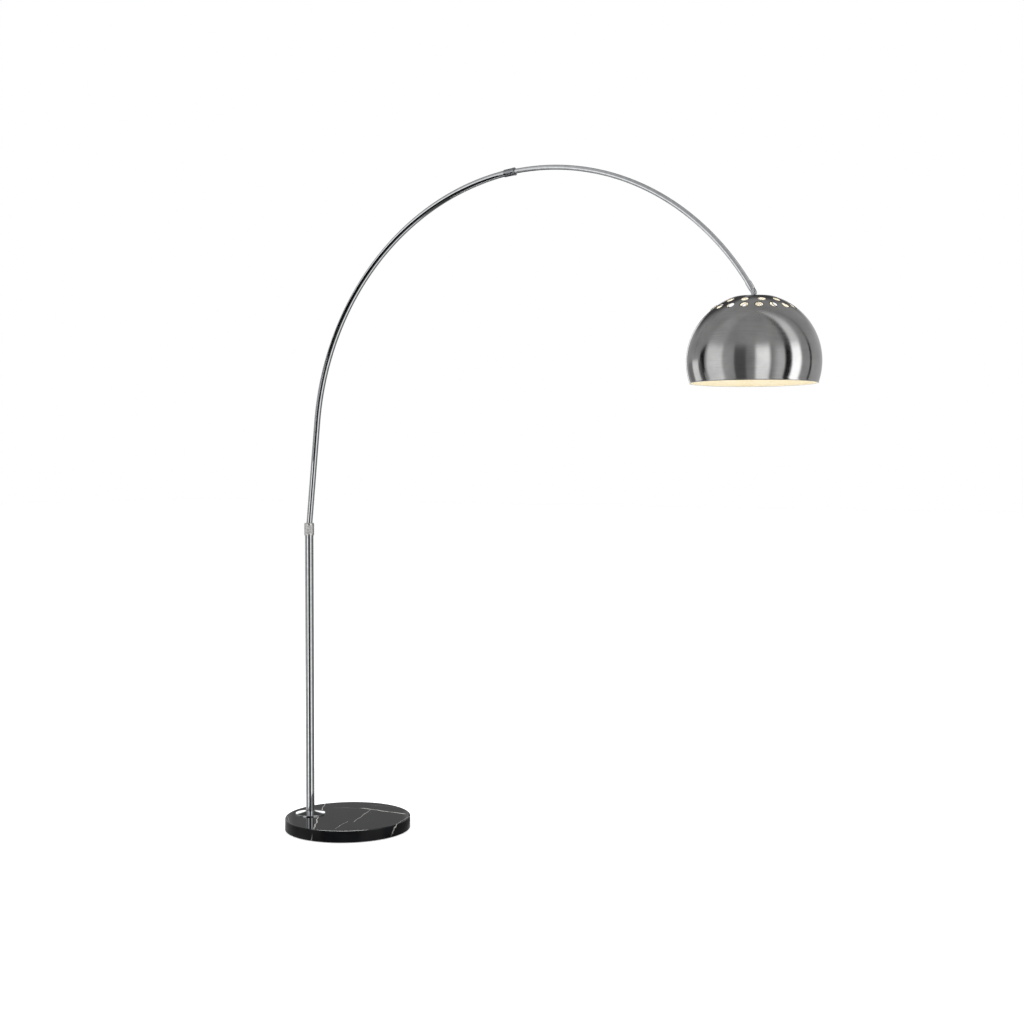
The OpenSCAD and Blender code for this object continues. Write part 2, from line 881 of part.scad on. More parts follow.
felt_pad();
marble_base();
cord_grommet();
fixing_washer();
spring_washer();
fixing_nut();
pole_plug();
foot_flange();
pole_tube();
pole_bush();
locking_collar();
lower_arc_tube();
spigot_glide();
arm_collet();
lock_sleeve();
upper_arc_tube();
arm_glide();
end_ferrule();
swivel_fork();
pivot_screw();
pivot_nut();
swivel_tongue();
shade_cap();
shade_dome();
inner_washer();
lock_nut();
threaded_nipple();
lampholder_cap();
lampholder_body();
lampholder_ring();
contact_block();
centre_contact();
thread_shell();
bulb_cap();
bulb_insulator();
bulb_contact();
bulb_glass();
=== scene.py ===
"""Arc floor lamp: chromed tubes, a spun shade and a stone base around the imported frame.

Shapes are worked out in millimetres and put into the meshes in metres, each in its place.
"""

import json
import math

import bmesh
import bpy
import numpy as np
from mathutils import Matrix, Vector


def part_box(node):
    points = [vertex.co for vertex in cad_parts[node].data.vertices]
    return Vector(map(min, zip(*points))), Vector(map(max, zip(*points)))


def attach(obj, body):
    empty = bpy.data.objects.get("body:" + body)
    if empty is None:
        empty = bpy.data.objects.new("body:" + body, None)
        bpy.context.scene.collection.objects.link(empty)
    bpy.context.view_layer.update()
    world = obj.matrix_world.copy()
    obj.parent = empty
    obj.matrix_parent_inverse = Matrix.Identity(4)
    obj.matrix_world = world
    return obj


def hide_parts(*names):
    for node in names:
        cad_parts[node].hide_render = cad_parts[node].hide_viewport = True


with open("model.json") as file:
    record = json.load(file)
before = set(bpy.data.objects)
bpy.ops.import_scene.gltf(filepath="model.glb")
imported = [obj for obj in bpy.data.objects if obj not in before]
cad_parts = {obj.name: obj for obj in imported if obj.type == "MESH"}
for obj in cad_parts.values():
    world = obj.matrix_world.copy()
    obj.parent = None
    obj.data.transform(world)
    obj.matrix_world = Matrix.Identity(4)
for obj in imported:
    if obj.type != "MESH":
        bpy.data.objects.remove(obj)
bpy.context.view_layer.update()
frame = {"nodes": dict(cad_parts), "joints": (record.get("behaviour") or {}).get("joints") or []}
nodes = frame["nodes"]

MM = 0.001
FULL_TURN = 2 * math.pi
VIEW_AZIMUTH = 32


# ---- Real sizes in millimetres; places come from the frame ----


def ends(node):
    """Lowest and highest corner of a CAD node, in millimetres."""
    low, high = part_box(node)
    return np.array(low) / MM, np.array(high) / MM


def middle(node):
    """Middle of a CAD node's box, in millimetres."""
    low, high = ends(node)
    return (low + high) / 2


pole_x, pole_y, _ = middle("pole_tube")
base_low, base_high = ends("marble_base")
base_r = (base_high[0] - base_low[0]) / 2
base_bottom, base_top = base_low[2], base_high[2]
pole_top = ends("pole_tube")[1][2]
pole_r = (ends("pole_tube")[1][0] - ends("pole_tube")[0][0]) / 2
collar_low, collar_high = ends("locking_collar")
collar_r = (collar_high[0] - collar_low[0]) / 2
shade_x, shade_y, _ = middle("shade_dome")
shade_flat_z = ends("shade_dome")[1][2]
sleeve_joint = next(j for j in frame["joints"] if j["name"] == "sleeve_twist")
sleeve_mid = np.array(sleeve_joint["pos_m"]) / MM
sleeve_axis = np.array(sleeve_joint["axis"])

ARC_R, LEAN_R, STRAIGHT_LEN = 702, 300, 279
LEAN = math.radians(6)
LOWER_BEND, UPPER_SHOW, UPPER_LAP = np.radians([79.8, 63, 16])
set_z = ends("pole_bush")[1][2] + 0.5
BEND_START = LEAN_R * LEAN + STRAIGHT_LEN
MOUTH = BEND_START + ARC_R * LOWER_BEND
ARM_END = MOUTH + ARC_R * UPPER_SHOW
UPPER_IN = MOUTH - ARC_R * UPPER_LAP

SHADE_R, SHADE_WALL, SHADE_TOP_H, SHADE_RIM_H = 157, 1, 150, 49
RIM_BEAD_R = 1.6
VENT_R, VENT_ROLL = 10.25, 1.3
shade_cz = shade_flat_z - SHADE_TOP_H


# ---- Surfaces ----


def rounded(corners, run=None, steps=6, support=0.5):
    """Closed outline from corners (r, s, f), each turned into a fillet of radius f.

    A fillet's ends lie f / tan(half the corner's angle) from the corner, and it goes from one
    to the other at a constant distance f from its centre. Two points close to each fillet keep
    the flats flat in the shading, and a run length splits what lies between them.
    """
    spot = np.array(corners, float)
    fillet = spot[:, 2:]
    spot = spot[:, :2]
    back = np.roll(spot, 1, 0) - spot
    on = np.roll(spot, -1, 0) - spot
    back /= np.linalg.norm(back, axis=1, keepdims=True)
    on /= np.linalg.norm(on, axis=1, keepdims=True)
    half = np.arccos(np.clip((back * on).sum(1, keepdims=True), -1, 1)) / 2
    split = back + on
    split /= np.maximum(np.linalg.norm(split, axis=1, keepdims=True), 1e-9)
    centre = spot + split * fillet / np.sin(half)
    first = spot + back * fillet / np.tan(half) - centre
    last = spot + on * fillet / np.tan(half) - centre
    swing = np.maximum(math.pi - 2 * half, 1e-6)
    t = np.linspace(0, 1, steps)
    arcs = (
        centre[:, None]
        + (
            first[:, None] * np.sin((1 - t)[None, :, None] * swing[:, None])
            + last[:, None] * np.sin(t[None, :, None] * swing[:, None])
        )
        / np.sin(swing)[:, None]
    )
    lines = []
    for i in range(len(spot)):
        a, b = arcs[i, -1], arcs[(i + 1) % len(spot), 0]
        length = np.linalg.norm(b - a)
        inset = min(support, length / 4)
        pieces = max(1, math.ceil((length - 2 * inset) / run)) if run else 1
        share = np.linspace(inset, length - inset, pieces + 1) / max(length, 1e-9)
        lines += [arcs[i], a + (b - a) * share[:, None]]
    return np.concatenate(lines)


def grid(rows, cols, join_rows=True, join_cols=True):
    """Four-sided faces of a grid of points, joined round either way."""
    i = np.arange(rows if join_rows else rows - 1)[:, None]
    j = np.arange(cols if join_cols else cols - 1)[None, :]
    up, on = (i + 1) % rows, (j + 1) % cols
    corners = [i * cols + j, i * cols + on, up * cols + on, up * cols + j]
    return np.stack(np.broadcast_arrays(*corners), -1).reshape(-1, 4)


def upright(x, y):
    """Around a vertical axis: (x + r cos t, y + r sin t, s)."""
    return lambda r, s, t: np.stack([x + r * np.cos(t), y + r * np.sin(t), s + 0 * t], -1)


def along(start, axis):
    """Around a straight axis in the arc's plane: start + s axis + r (cos t side + sin t Y)."""
    axis = np.array(axis) / np.linalg.norm(axis)
    side = np.array([axis[2], 0, -axis[0]])

    def place(r, s, t):
        ring = np.cos(t)[..., None] * side + np.sin(t)[..., None] * np.array([0, 1, 0])
        return start + (s + 0 * t)[..., None] * axis + (r + 0 * t)[..., None] * ring

    return place


def on_arm(r, s, t):
    """Around the arm's own line, s along it from the top of the pole's bush.

    The line is upright below zero, then turns through the lean on LEAN_R, runs straight at the
    lean, and goes on as one circle of ARC_R. r and t go round the line.
    """
    set_turn = np.clip(s / LEAN_R, 0, LEAN)
    run = np.clip(s - LEAN_R * LEAN, 0, STRAIGHT_LEN)
    bend = np.maximum(s - BEND_START, 0) / ARC_R
    turn = set_turn + bend
    x = LEAN_R * (1 - np.cos(set_turn)) + run * math.sin(LEAN)
    x = x + ARC_R * (math.cos(LEAN) - np.cos(LEAN + bend))
    z = np.minimum(s, 0) + LEAN_R * np.sin(set_turn) + run * math.cos(LEAN)
    z = z + ARC_R * (np.sin(LEAN + bend) - math.sin(LEAN))
    return np.stack(
        [
            pole_x + x + r * np.cos(t) * np.cos(turn),
            pole_y + r * np.sin(t) + 0 * s,
            set_z + z - r * np.cos(t) * np.sin(turn),
        ],
        -1,
    )


def turned(outline, place, around=96, relief=None):
    """Outline (r, s) carried round a full turn by place, less a relief (r, s, t) in its radius."""
    t = (np.arange(around) / around * FULL_TURN)[None, :]
    r, s = outline[:, :1], outline[:, 1:]
    if relief:
        r = r - relief(r, s, t)
    spots = place(r + 0 * t, s + 0 * t, t + 0 * s)
    return spots.reshape(-1, 3), grid(len(outline), around)


def pipe(r_out, r_in, low, high, edge=0.3, run=None, steps=4):
    """Outline of a tube with rounded ends."""
    corners = [(r_out, low, edge), (r_out, high, edge), (r_in, high, edge), (r_in, low, edge)]
    return rounded(corners, run, steps)


def piece(name, surfaces, body, slot, finishes, *replaced, sharp=38):
    """One mesh from surfaces (points, faces, finish number), in place and riding on its body."""
    points = np.concatenate([s[0] for s in surfaces]) * MM
    starts = np.cumsum([0] + [len(s[0]) for s in surfaces])
    faces = np.concatenate([s[1] + start for s, start in zip(surfaces, starts)])
    numbers = [np.full(len(s[1]), s[2] if len(s) > 2 else 0) for s in surfaces]
    mesh = bpy.data.meshes.new(name)
    mesh.from_pydata(points.tolist(), [], faces.tolist())
    mesh.polygons.foreach_set("material_index", np.concatenate(numbers))
    return place_mesh(name, mesh, body, finishes, replaced, sharp)


def place_mesh(name, mesh, body, finishes, replaced, sharp, merge=0.002):
    """Merges doubles, turns the faces outward, shades smooth up to an angle, and rides a body."""
    shape = bmesh.new()
    shape.from_mesh(mesh)
    bmesh.ops.remove_doubles(shape, verts=shape.verts, dist=merge * MM)
    bmesh.ops.dissolve_degenerate(shape, edges=shape.edges, dist=merge * MM / 4)
    bmesh.ops.recalc_face_normals(shape, faces=shape.faces)
    shape.to_mesh(mesh)
    shape.free()
    for finish in finishes:
        mesh.materials.append(finish)
    mesh.shade_smooth()
    mesh.set_sharp_from_angle(angle=math.radians(sharp))
    thing = bpy.data.objects.new(name, mesh)
    bpy.context.scene.collection.objects.link(thing)
    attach(thing, body)
    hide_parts(*replaced)
    return thing


def finished_copy(node, name, body, finish, edge):
    """A merged copy of a CAD piece with its sharp edges rounded to a small radius."""
    mesh = nodes[node].data.copy()
    mesh.materials.clear()
    if "custom_normal" in mesh.attributes:
        mesh.attributes.remove(mesh.attributes["custom_normal"])
    copy = place_mesh(name, mesh, body, [finish], [node], 30, merge=0.01)
    shape = bmesh.new()
    shape.from_mesh(mesh)
    flat = math.radians(0.5)
    bmesh.ops.dissolve_limit(shape, angle_limit=flat, verts=shape.verts, edges=shape.edges)
    shape.to_mesh(mesh)
    shape.free()
    bevel = copy.modifiers.new("Rounded edges", "BEVEL")
    bevel.width = edge * MM
    bevel.segments = 3
    bevel.limit_method = "ANGLE"
    bevel.angle_limit = math.radians(35)
    bevel.harden_normals = True
    return copy


# ---- Finishes ----


def colour(code):
    """Linear colour of an sRGB hex code."""
    parts = np.array([int(code[i : i + 2], 16) for i in (1, 3, 5)]) / 255
    linear = np.where(parts <= 0.04045, parts / 12.92, ((parts + 0.055) / 1.055) ** 2.4)
    return (*linear.tolist(), 1)


def add(tree, kind, inputs=None, **settings):
    """One shader node: settings are its properties, inputs its sockets' values or links."""
    node = tree.nodes.new("ShaderNode" + kind)
    for key, value in settings.items():
        setattr(node, key, value)
    for key, value in (inputs or {}).items():
        if isinstance(value, bpy.types.NodeSocket):
            tree.links.new(value, node.inputs[key])
        else:
            node.inputs[key].default_value = value
    return node.outputs[0] if len(node.outputs) else node


def new_finish(name, sockets):
    """A material with one Principled shader; returns the material, its tree and the shader."""
    material = bpy.data.materials.new(name)
    material.use_nodes = True
    tree = material.node_tree
    tree.nodes.clear()
    shader = tree.nodes.new("ShaderNodeBsdfPrincipled")
    for key, value in sockets.items():
        shader.inputs[key].default_value = value
    add(tree, "OutputMaterial", {"Surface": shader.outputs[0]})
    return material, tree, shader


def speckle(tree, size, detail=3, stretch=(1, 1, 1), roughness=0.5):
    """Noise whose grains are size millimetres across, on Object coordinates."""
    scaled = add(tree, "Mapping", {"Vector": object_place(tree), "Scale": stretch})
    return add(
        tree,
        "TexNoise",
        {"Vector": scaled, "Scale": 1 / (size * MM), "Detail": detail, "Roughness": roughness},
    )


def between(tree, value, low, high, to_low=0.0, to_high=1.0):
    """Value stretched from low..high to to_low..to_high, held at both ends."""
    sockets = {"Value": value, "From Min": low, "From Max": high}
    sockets |= {"To Min": to_low, "To Max": to_high}
    return add(tree, "MapRange", sockets)


def maths(tree, operation, *values):
    """Numbers or links put through one operation."""
    return add(tree, "Math", dict(enumerate(values)), operation=operation)


def object_place(tree):
    """Object coordinates: the frame's own metres, since each piece lies in its place."""
    return tree.nodes.new("ShaderNodeTexCoord").outputs["Object"]


def object_height(tree):
    """Height above the floor, in metres."""
    return add(tree, "SeparateXYZ", {"Vector": object_place(tree)}).node.outputs["Z"]


def blend(tree, share, one, other):
    """Colour that goes from one to the other with share; each may be a link."""
    sockets = {"Factor": share, "A": one, "B": other}
    return add(tree, "Mix", sockets, data_type="RGBA").node.outputs["Result"]


def tinted(tree, shader, share, dark, light):
    """Base colour that goes from dark to light with share; returns the colour."""
    tint = blend(tree, share, colour(dark), colour(light))
    tree.links.new(tint, shader.inputs["Base Color"])
    return tint


def bumped(tree, shader, height, depth, strength=1.0):
    """Bump of the given depth in millimetres."""
    normal = add(tree, "Bump", {"Height": height, "Distance": depth * MM, "Strength": strength})
    tree.links.new(normal, shader.inputs["Normal"])


def plated(name, dark, light, rough_low, rough_high, haze=9, scratch=0.4, depth=0.0002):
    """Bright plating: slightly uneven tone, polishing haze and hairline scratches."""
    material, tree, shader = new_finish(name, {"Metallic": 1.0})
    tone = between(tree, speckle(tree, haze), 0.35, 0.65)
    tinted(tree, shader, tone, dark, light)
    roughness = between(tree, speckle(tree, haze / 2), 0.3, 0.7, rough_low, rough_high)
    tree.links.new(roughness, shader.inputs["Roughness"])
    bumped(tree, shader, speckle(tree, scratch, 2, (1, 1, 0.12)), depth)
    return material


def moulded(name, dark, light, roughness, grain, depth, **sockets):
    """Moulded or pressed body with a fine grain and a slow drift in its tone."""
    values = {"Roughness": roughness}
    values |= {key.replace("_", " "): value for key, value in sockets.items()}
    material, tree, shader = new_finish(name, values)
    tinted(tree, shader, between(tree, speckle(tree, grain * 12), 0.3, 0.7), dark, light)
    bumped(tree, shader, speckle(tree, grain), depth)
    return material


# Bright chrome plate on polished steel tube: mirror with a faint haze from buffing
chrome = plated("polished_chrome_plate", "#BEC0C2", "#CCCED0", 0.03, 0.07)
# Lock sleeve: the same plate over a turned and lightly satined part, so duller and darker
sleeve_chrome = plated("satined_chrome_sleeve", "#85878A", "#999B9E", 0.1, 0.18, 5, 0.4, 0.001)
# Satin nickel plate over a knurl: soft, slightly warm, blunted ridges
satin_nickel = plated("satin_nickel_knurl", "#D2D2D1", "#E6E6E5", 0.24, 0.34, 4, 0.5, 0.002)
# Bright zinc plate on steel hardware: bluish patches, semi-bright
zinc = plated("bright_zinc_plate", "#A9ADB1", "#C4C8CC", 0.24, 0.42, 5, 0.4, 0.004)
# Rolled edge of the vents: painted shadow, dull steel coloured near-black to draw a dark outline
# round each vent
painted_shadow_edge = plated("painted_shadow_vent_edge", "#1C1C1D", "#2E2E2F", 0.4, 0.5, 3, 0.4, 0.003)
# Turned brass: warm and semi-bright, with fine tool lines
brass = plated("turned_brass", "#B08A3E", "#CDA95A", 0.18, 0.32, 6, 0.3, 0.004)
# Bulb cap in tinned steel: pale, satin, lightly dulled
tin = plated("tinned_steel_cap", "#A8AAAC", "#C9CACC", 0.25, 0.4, 5, 0.4, 0.003)
# Natural nylon, turned: milky, waxy, faint tool lines
nylon = moulded(
    "natural_nylon",
    "#DDD8C8",
    "#ECE9DF",
    0.42,
    0.4,
    0.01,
    Subsurface_Weight=0.15,
    Subsurface_Scale=0.002,
)
# Thermoplastic lampholder, moulded: warm white with a low sheen
holder_plastic = moulded("moulded_white_plastic", "#E6E2D8", "#F2EFE8", 0.34, 0.35, 0.008)
# Unglazed ceramic insulator block: cream, dry and fine-grained
ceramic = moulded("steatite_ceramic", "#C9C1AE", "#DCD5C4", 0.55, 0.3, 0.015)
# Moulded black rubber: matt with a slight bloom
rubber = moulded("moulded_black_rubber", "#101010", "#1E1E1E", 0.62, 0.5, 0.02)
# Black glass in the bulb's end: smooth and deep
vitrite = moulded("black_glass_insulator", "#08080A", "#15151A", 0.12, 0.4, 0.003, Coat_Weight=0.5)


def pressed_felt():
    """Pressed wool felt: matted fibres about 0.4 mm across, fuzzy sheen."""
    material, tree, shader = new_finish("pressed_wool_felt", {"Roughness": 0.95})
    shader.inputs["Sheen Weight"].default_value = 0.5
    shader.inputs["Sheen Roughness"].default_value = 0.6
    fibre = speckle(tree, 0.8, 5, (1, 1, 2.5), 0.7)
    tinted(tree, shader, between(tree, fibre, 0.3, 0.7), "#151516", "#38383A")
    bumped(tree, shader, fibre, 0.35)
    return material


BRUSH_PITCH = 0.5


def spun_metal():
    """Spun shade, brushed on the lathe: fine rings round the axis that stretch each reflection.

    The rings are noise over the angle from the shade's axis, about BRUSH_PITCH apart, which is
    coarser than the real brushing so that it shows. They change the tone, the roughness and the
    bump, and the anisotropic gloss turns with the axis.
    """
    material, tree, shader = new_finish("spun_brushed_steel", {"Metallic": 1.0})
    shader.inputs["Anisotropic"].default_value = 0.8
    shader.inputs["Anisotropic Rotation"].default_value = 0.25
    centre = [-c * MM for c in (shade_x, shade_y, shade_cz)]
    local = add(tree, "Mapping", {"Vector": object_place(tree), "Location": centre})
    split = add(tree, "SeparateXYZ", {"Vector": local}).node
    x, y, z = split.outputs
    flat = add(tree, "CombineXYZ", {"X": x, "Y": y})
    reach = add(tree, "VectorMath", {0: flat}, operation="LENGTH").node.outputs["Value"]
    polar = maths(tree, "ARCTAN2", reach, z)
    azimuth = maths(tree, "ARCTAN2", y, x)
    rings_on = maths(tree, "MULTIPLY", polar, SHADE_R / BRUSH_PITCH)
    drift_on = maths(tree, "MULTIPLY", azimuth, 2.0)
    rings_at = add(tree, "CombineXYZ", {"X": rings_on, "Y": drift_on})
    rings = add(tree, "TexNoise", {"Vector": rings_at, "Scale": 1.0, "Detail": 3.0})
    ring_tone = between(tree, rings, 0.25, 0.75, 0, 0.55)
    cloud_tone = between(tree, speckle(tree, 45, 2), 0.3, 0.7, 0, 0.45)
    tinted(tree, shader, maths(tree, "ADD", ring_tone, cloud_tone), "#8E8E8E", "#B0B0AF")
    tree.links.new(between(tree, rings, 0.25, 0.75, 0.1, 0.2), shader.inputs["Roughness"])
    bumped(tree, shader, rings, 0.006)
    tangent = add(tree, "Tangent", direction_type="RADIAL", axis="Z")
    tree.links.new(tangent, shader.inputs["Tangent"])
    return material


# Painted light on the enamel inside the shade: how high it reaches, and how pale it makes the
# colour
PAINTED_LIGHT_RISE = 0.7
PAINTED_LIGHT_SHARE = (0.1, 0.8)


def shade_enamel():
    """Warm white stove enamel inside the shade with faint orange peel, and painted light: paler
    towards the top, yellower towards the rim.

    The painted light grows with height from the sphere's middle up to a share of its radius given
    by the rise constant above, plus a slow noise in the enamel's tone.
    """
    material, tree, shader = new_finish("warm_white_enamel", {"Roughness": 0.42})
    low, high = shade_cz * MM, (shade_cz + SHADE_R * PAINTED_LIGHT_RISE) * MM
    # Painted light: the enamel's colour grows paler with height
    painted_light = between(tree, object_height(tree), low, high, *PAINTED_LIGHT_SHARE)
    drift = between(tree, speckle(tree, 40), 0.3, 0.7, -0.1, 0.2)
    tinted(tree, shader, maths(tree, "ADD", painted_light, drift), "#EFE7CE", "#FDFCF8")
    bumped(tree, shader, speckle(tree, 1.5, 2), 0.01)
    return material


# Strength of the bulb's light at its lowest point and at its neck
BULB_GLOW = (3.8 * 0.35, 3.8)


def opal_glass():
    """Opal glass of a lit warm bulb: strongest towards the neck."""
    material, tree, shader = new_finish("lit_opal_glass", {"Roughness": 0.3})
    tinted(tree, shader, between(tree, speckle(tree, 12), 0.3, 0.7), "#F4ECDC", "#FBF6EA")
    shader.inputs["Emission Color"].default_value = colour("#FFEDD2")
    low, high = ends("bulb_glass")
    at_height = object_height(tree)
    glow = between(tree, at_height, low[2] * MM, high[2] * MM, *BULB_GLOW)
    tree.links.new(glow, shader.inputs["Emission Strength"])
    return material


# Each vein of the stone is a thin sheet: where it starts and ends on the top face, how far it
# leans per millimetre of depth, its width and how strong it is. Millimetres from the middle.
VEINS = [
    ((-150, 82), (-60, -60), 0.1, 1.4, 0.8),
    ((-62, -56), (14, -165), -0.25, 1.9, 1.0),
    ((-22, 96), (118, 103), 0.3, 3.0, 1.0),
    ((-95, 60), (-15, 97), 0.2, 1.1, 0.35),
    ((10, 86), (58, -44), 0.4, 1.3, 0.6),
    ((40, -52), (62, -132), 0.4, 0.9, 0.6),
    ((150, 90), (176, -20), -0.15, 1.2, 0.45),
    ((-30, 140), (60, 158), 0.3, 1.0, 0.3),
    ((-140, -95), (-95, -140), 0.2, 0.9, 0.3),
]

VEIN_BEND, VEIN_SHAKE, VEIN_FADE = 16, 3, 9
HONED_DROP, POLISHED_DROP = 2.2, 1.2


def black_marble():
    """Black marble with sparse white calcite veins: the top is polished, the side honed.

    A vein is where the distance to its sheet, bent by two sizes of noise, is under its width.
    It fades past its ends, and a slow noise breaks it up along its run. The gloss grows over
    the arris, from HONED_DROP to POLISHED_DROP below the top.
    """
    material, tree, shader = new_finish("polished_black_marble", {"IOR": 1.5})
    height = object_height(tree)
    honed, polished = (base_top - HONED_DROP) * MM, (base_top - POLISHED_DROP) * MM
    gloss = between(tree, height, honed, polished, 0.08, 0.5)
    tree.links.new(gloss, shader.inputs["Specular IOR Level"])
    tree.links.new(between(tree, height, honed, polished, 0.22, 0.03), shader.inputs["Roughness"])
    drop = (0, 0, -base_top * MM)
    local = add(tree, "Mapping", {"Vector": object_place(tree), "Location": drop})

    def stone_noise(size, detail):
        return add(tree, "TexNoise", {"Vector": local, "Scale": 1 / (size * MM), "Detail": detail})

    def along_way(way):
        """Distance from the stone's middle along a direction."""
        product = add(tree, "VectorMath", {0: local, 1: way}, operation="DOT_PRODUCT")
        return product.node.outputs["Value"]

    bend = maths(tree, "SUBTRACT", stone_noise(38, 4.0), 0.5)
    bend = maths(tree, "MULTIPLY", bend, VEIN_BEND * MM)
    shake = maths(tree, "SUBTRACT", stone_noise(7, 3.0), 0.5)
    shake = maths(tree, "MULTIPLY_ADD", shake, VEIN_SHAKE * MM, bend)
    total = None
    for start, end, tilt, width, strength in VEINS:
        a, b = np.array(start), np.array(end)
        length = np.linalg.norm(b - a)
        way = (b - a) / length
        across = Vector((-way[1], way[0], tilt)).normalized()
        off = float(np.dot(a, across[:2])) * MM
        from_start = float(np.dot(a, way)) * MM
        dist = maths(tree, "ADD", along_way(across), shake)
        dist = maths(tree, "ABSOLUTE", maths(tree, "SUBTRACT", dist, off))
        line = between(tree, dist, width * MM * 0.2, width * MM, strength, 0.0)
        run = maths(tree, "SUBTRACT", along_way((*way, 0)), from_start + length * MM / 2)
        run = maths(tree, "ABSOLUTE", run)
        inside = between(tree, run, length * MM / 2, (length / 2 + VEIN_FADE) * MM, 1.0, 0.0)
        line = maths(tree, "MULTIPLY", line, inside)
        total = line if total is None else maths(tree, "MAXIMUM", total, line)
    broken = between(tree, stone_noise(16, 2.0), 0.3, 0.52, 0.35, 1.0)
    vein = maths(tree, "MULTIPLY", total, broken)
    cloud = between(tree, stone_noise(60, 6.0), 0.35, 0.75)
    stone = tinted(tree, shader, cloud, "#050506", "#141517")
    veined = blend(tree, vein, stone, colour("#E8E6E0"))
    tree.links.new(veined, shader.inputs["Base Color"])
    return material


felt = pressed_felt()
spun = spun_metal()
enamel = shade_enamel()
opal = opal_glass()
marble = black_marble()


# ---- Base and pole ----

at_pole = upright(pole_x, pole_y)
at_base = upright(0, 0)
at_shade = upright(shade_x, shade_y)
RECESS_R, RECESS_H, STUD_HOLE_R = 26, 18, 8.6
PASSAGE_R = 6


def offset_disc(r_a, place_a, r_b, place_b, z, around=180, rows=12):
    """Flat ring between two circles with different middles: each point goes from its place on
    one circle to the same turn on the other in equal shares."""
    t = (np.arange(around) / around * FULL_TURN)[None, :]
    share = np.linspace(0, 1, rows)[:, None, None]
    one = place_a(r_a + 0 * t, z + 0 * t, t)
    two = place_b(r_b + 0 * t, z + 0 * t, t)
    return (one + (two - one) * share).reshape(-1, 3), grid(rows, around, join_rows=False)


def strip(outline, place, around=180):
    """Open outline carried round a full turn."""
    return turned(outline, place, around)[0], grid(len(outline), around, join_rows=False)


def marble_disc():
    """Stone disc with rounded arrises, a recess under the pole and the drilled cord passage."""
    inner = base_r - 6
    edge = rounded(
        [
            (inner, base_bottom, 0),
            (base_r, base_bottom, 1),
            (base_r, base_top, 1.6),
            (inner, base_top, 0),
        ],
        steps=8,
    )
    keep = np.flatnonzero(edge[:, 0] > inner - 0.01)
    edge = edge[keep]
    low = np.flatnonzero((edge[:, 0] < inner + 0.01) & (edge[:, 1] < base_bottom + 0.01))[0]
    edge = np.roll(edge, -low, 0)
    top = np.flatnonzero((edge[:, 0] < inner + 0.01) & (edge[:, 1] > base_top - 0.01))[0]
    edge = edge[: top + 1]
    roof = base_bottom + RECESS_H
    lip = 0.6
    hole = [
        (STUD_HOLE_R + lip, base_top),
        (STUD_HOLE_R, base_top - lip),
        (STUD_HOLE_R, roof),
        (RECESS_R, roof),
        (RECESS_R, base_bottom + lip),
        (RECESS_R + lip, base_bottom),
    ]
    surfaces = [
        strip(edge, at_base),
        offset_disc(inner, at_base, STUD_HOLE_R + lip, at_pole, base_top),
        strip(np.array(hole, float), at_pole),
        offset_disc(RECESS_R + lip, at_pole, inner, at_base, base_bottom),
    ]
    disc = piece("stone_disc", surfaces, "stand", "marble", [marble], "marble_base")
    away = np.array([pole_x, pole_y, 0])
    away = away / np.linalg.norm(away)
    start = np.array([pole_x, pole_y, base_bottom + RECESS_H / 2])
    drill = cutter("drill", start, away, PASSAGE_R, base_r)
    cut = disc.modifiers.new("Cord passage", "BOOLEAN")
    cut.object = drill
    cut.solver = "EXACT"
    settle(disc)
    bpy.data.objects.remove(drill)
    return disc


def cutter(name, start, axis, radius, length):
    """Closed rod from start along axis, used only to drill."""
    helper = np.cross(axis, [0, 0, 1])
    up = np.cross(helper, axis)
    around = 48
    t = (np.arange(around) / around * FULL_TURN)[None, :, None]
    r = np.array([0, radius, radius, 0])[:, None, None]
    s = np.array([0, 0, length, length])[:, None, None]
    spots = start + s * np.array(axis) + r * (np.cos(t) * helper + np.sin(t) * up)
    mesh = bpy.data.meshes.new(name)
    faces = grid(4, around, join_rows=False)
    mesh.from_pydata((spots.reshape(-1, 3) * MM).tolist(), [], faces.tolist())
    shape = bmesh.new()
    shape.from_mesh(mesh)
    bmesh.ops.remove_doubles(shape, verts=shape.verts, dist=0.002 * MM)
    bmesh.ops.recalc_face_normals(shape, faces=shape.faces)
    shape.to_mesh(mesh)
    shape.free()
    rod = bpy.data.objects.new(name, mesh)
    bpy.context.scene.collection.objects.link(rod)
    return rod


def settle(thing):
    """Puts the modifiers' result into the mesh."""
    bpy.context.view_layer.update()
    seen = thing.evaluated_get(bpy.context.evaluated_depsgraph_get())
    thing.data = bpy.data.meshes.new_from_object(seen)
    thing.modifiers.clear()


marble_disc()

FLANGE_R, FLANGE_RIM_H, FLANGE_H, FLANGE_WALL = 41.5, 3, 8.5, 1.2
flange_bore = pole_r + 0.05
flange_neck = flange_bore + 2
piece(
    "trumpet_flange",
    [
        turned(
            rounded(
                [
                    (FLANGE_R - FLANGE_WALL, base_top, 0.2),
                    (FLANGE_R, base_top, 0.2),
                    (FLANGE_R, base_top + FLANGE_RIM_H, 1.1),
                    (flange_neck, base_top + FLANGE_H, 1.6),
                    (flange_bore, base_top + FLANGE_H, 0.25),
                    (flange_bore, base_top + FLANGE_H - FLANGE_WALL, 0.1),
                    (flange_neck, base_top + FLANGE_H - FLANGE_WALL, 0.6),
                    (FLANGE_R - FLANGE_WALL, base_top + FLANGE_RIM_H - FLANGE_WALL, 0.5),
                ]
            ),
            at_pole,
            144,
        )
    ],
    "stand",
    "chrome",
    [chrome],
    "foot_flange",
)
POLE_WALL = 1.2
piece(
    "chromed_pole",
    [turned(pipe(pole_r, pole_r - POLE_WALL, base_top, pole_top, run=60), at_pole, 96)],
    "stand",
    "chrome",
    [chrome],
    "pole_tube",
)

KNURL_PITCH, KNURL_DEPTH, KNURL_STARTS = 2.0, 0.35, 44
knurl_low, knurl_high = collar_low[2] + 4, collar_high[2] - 6


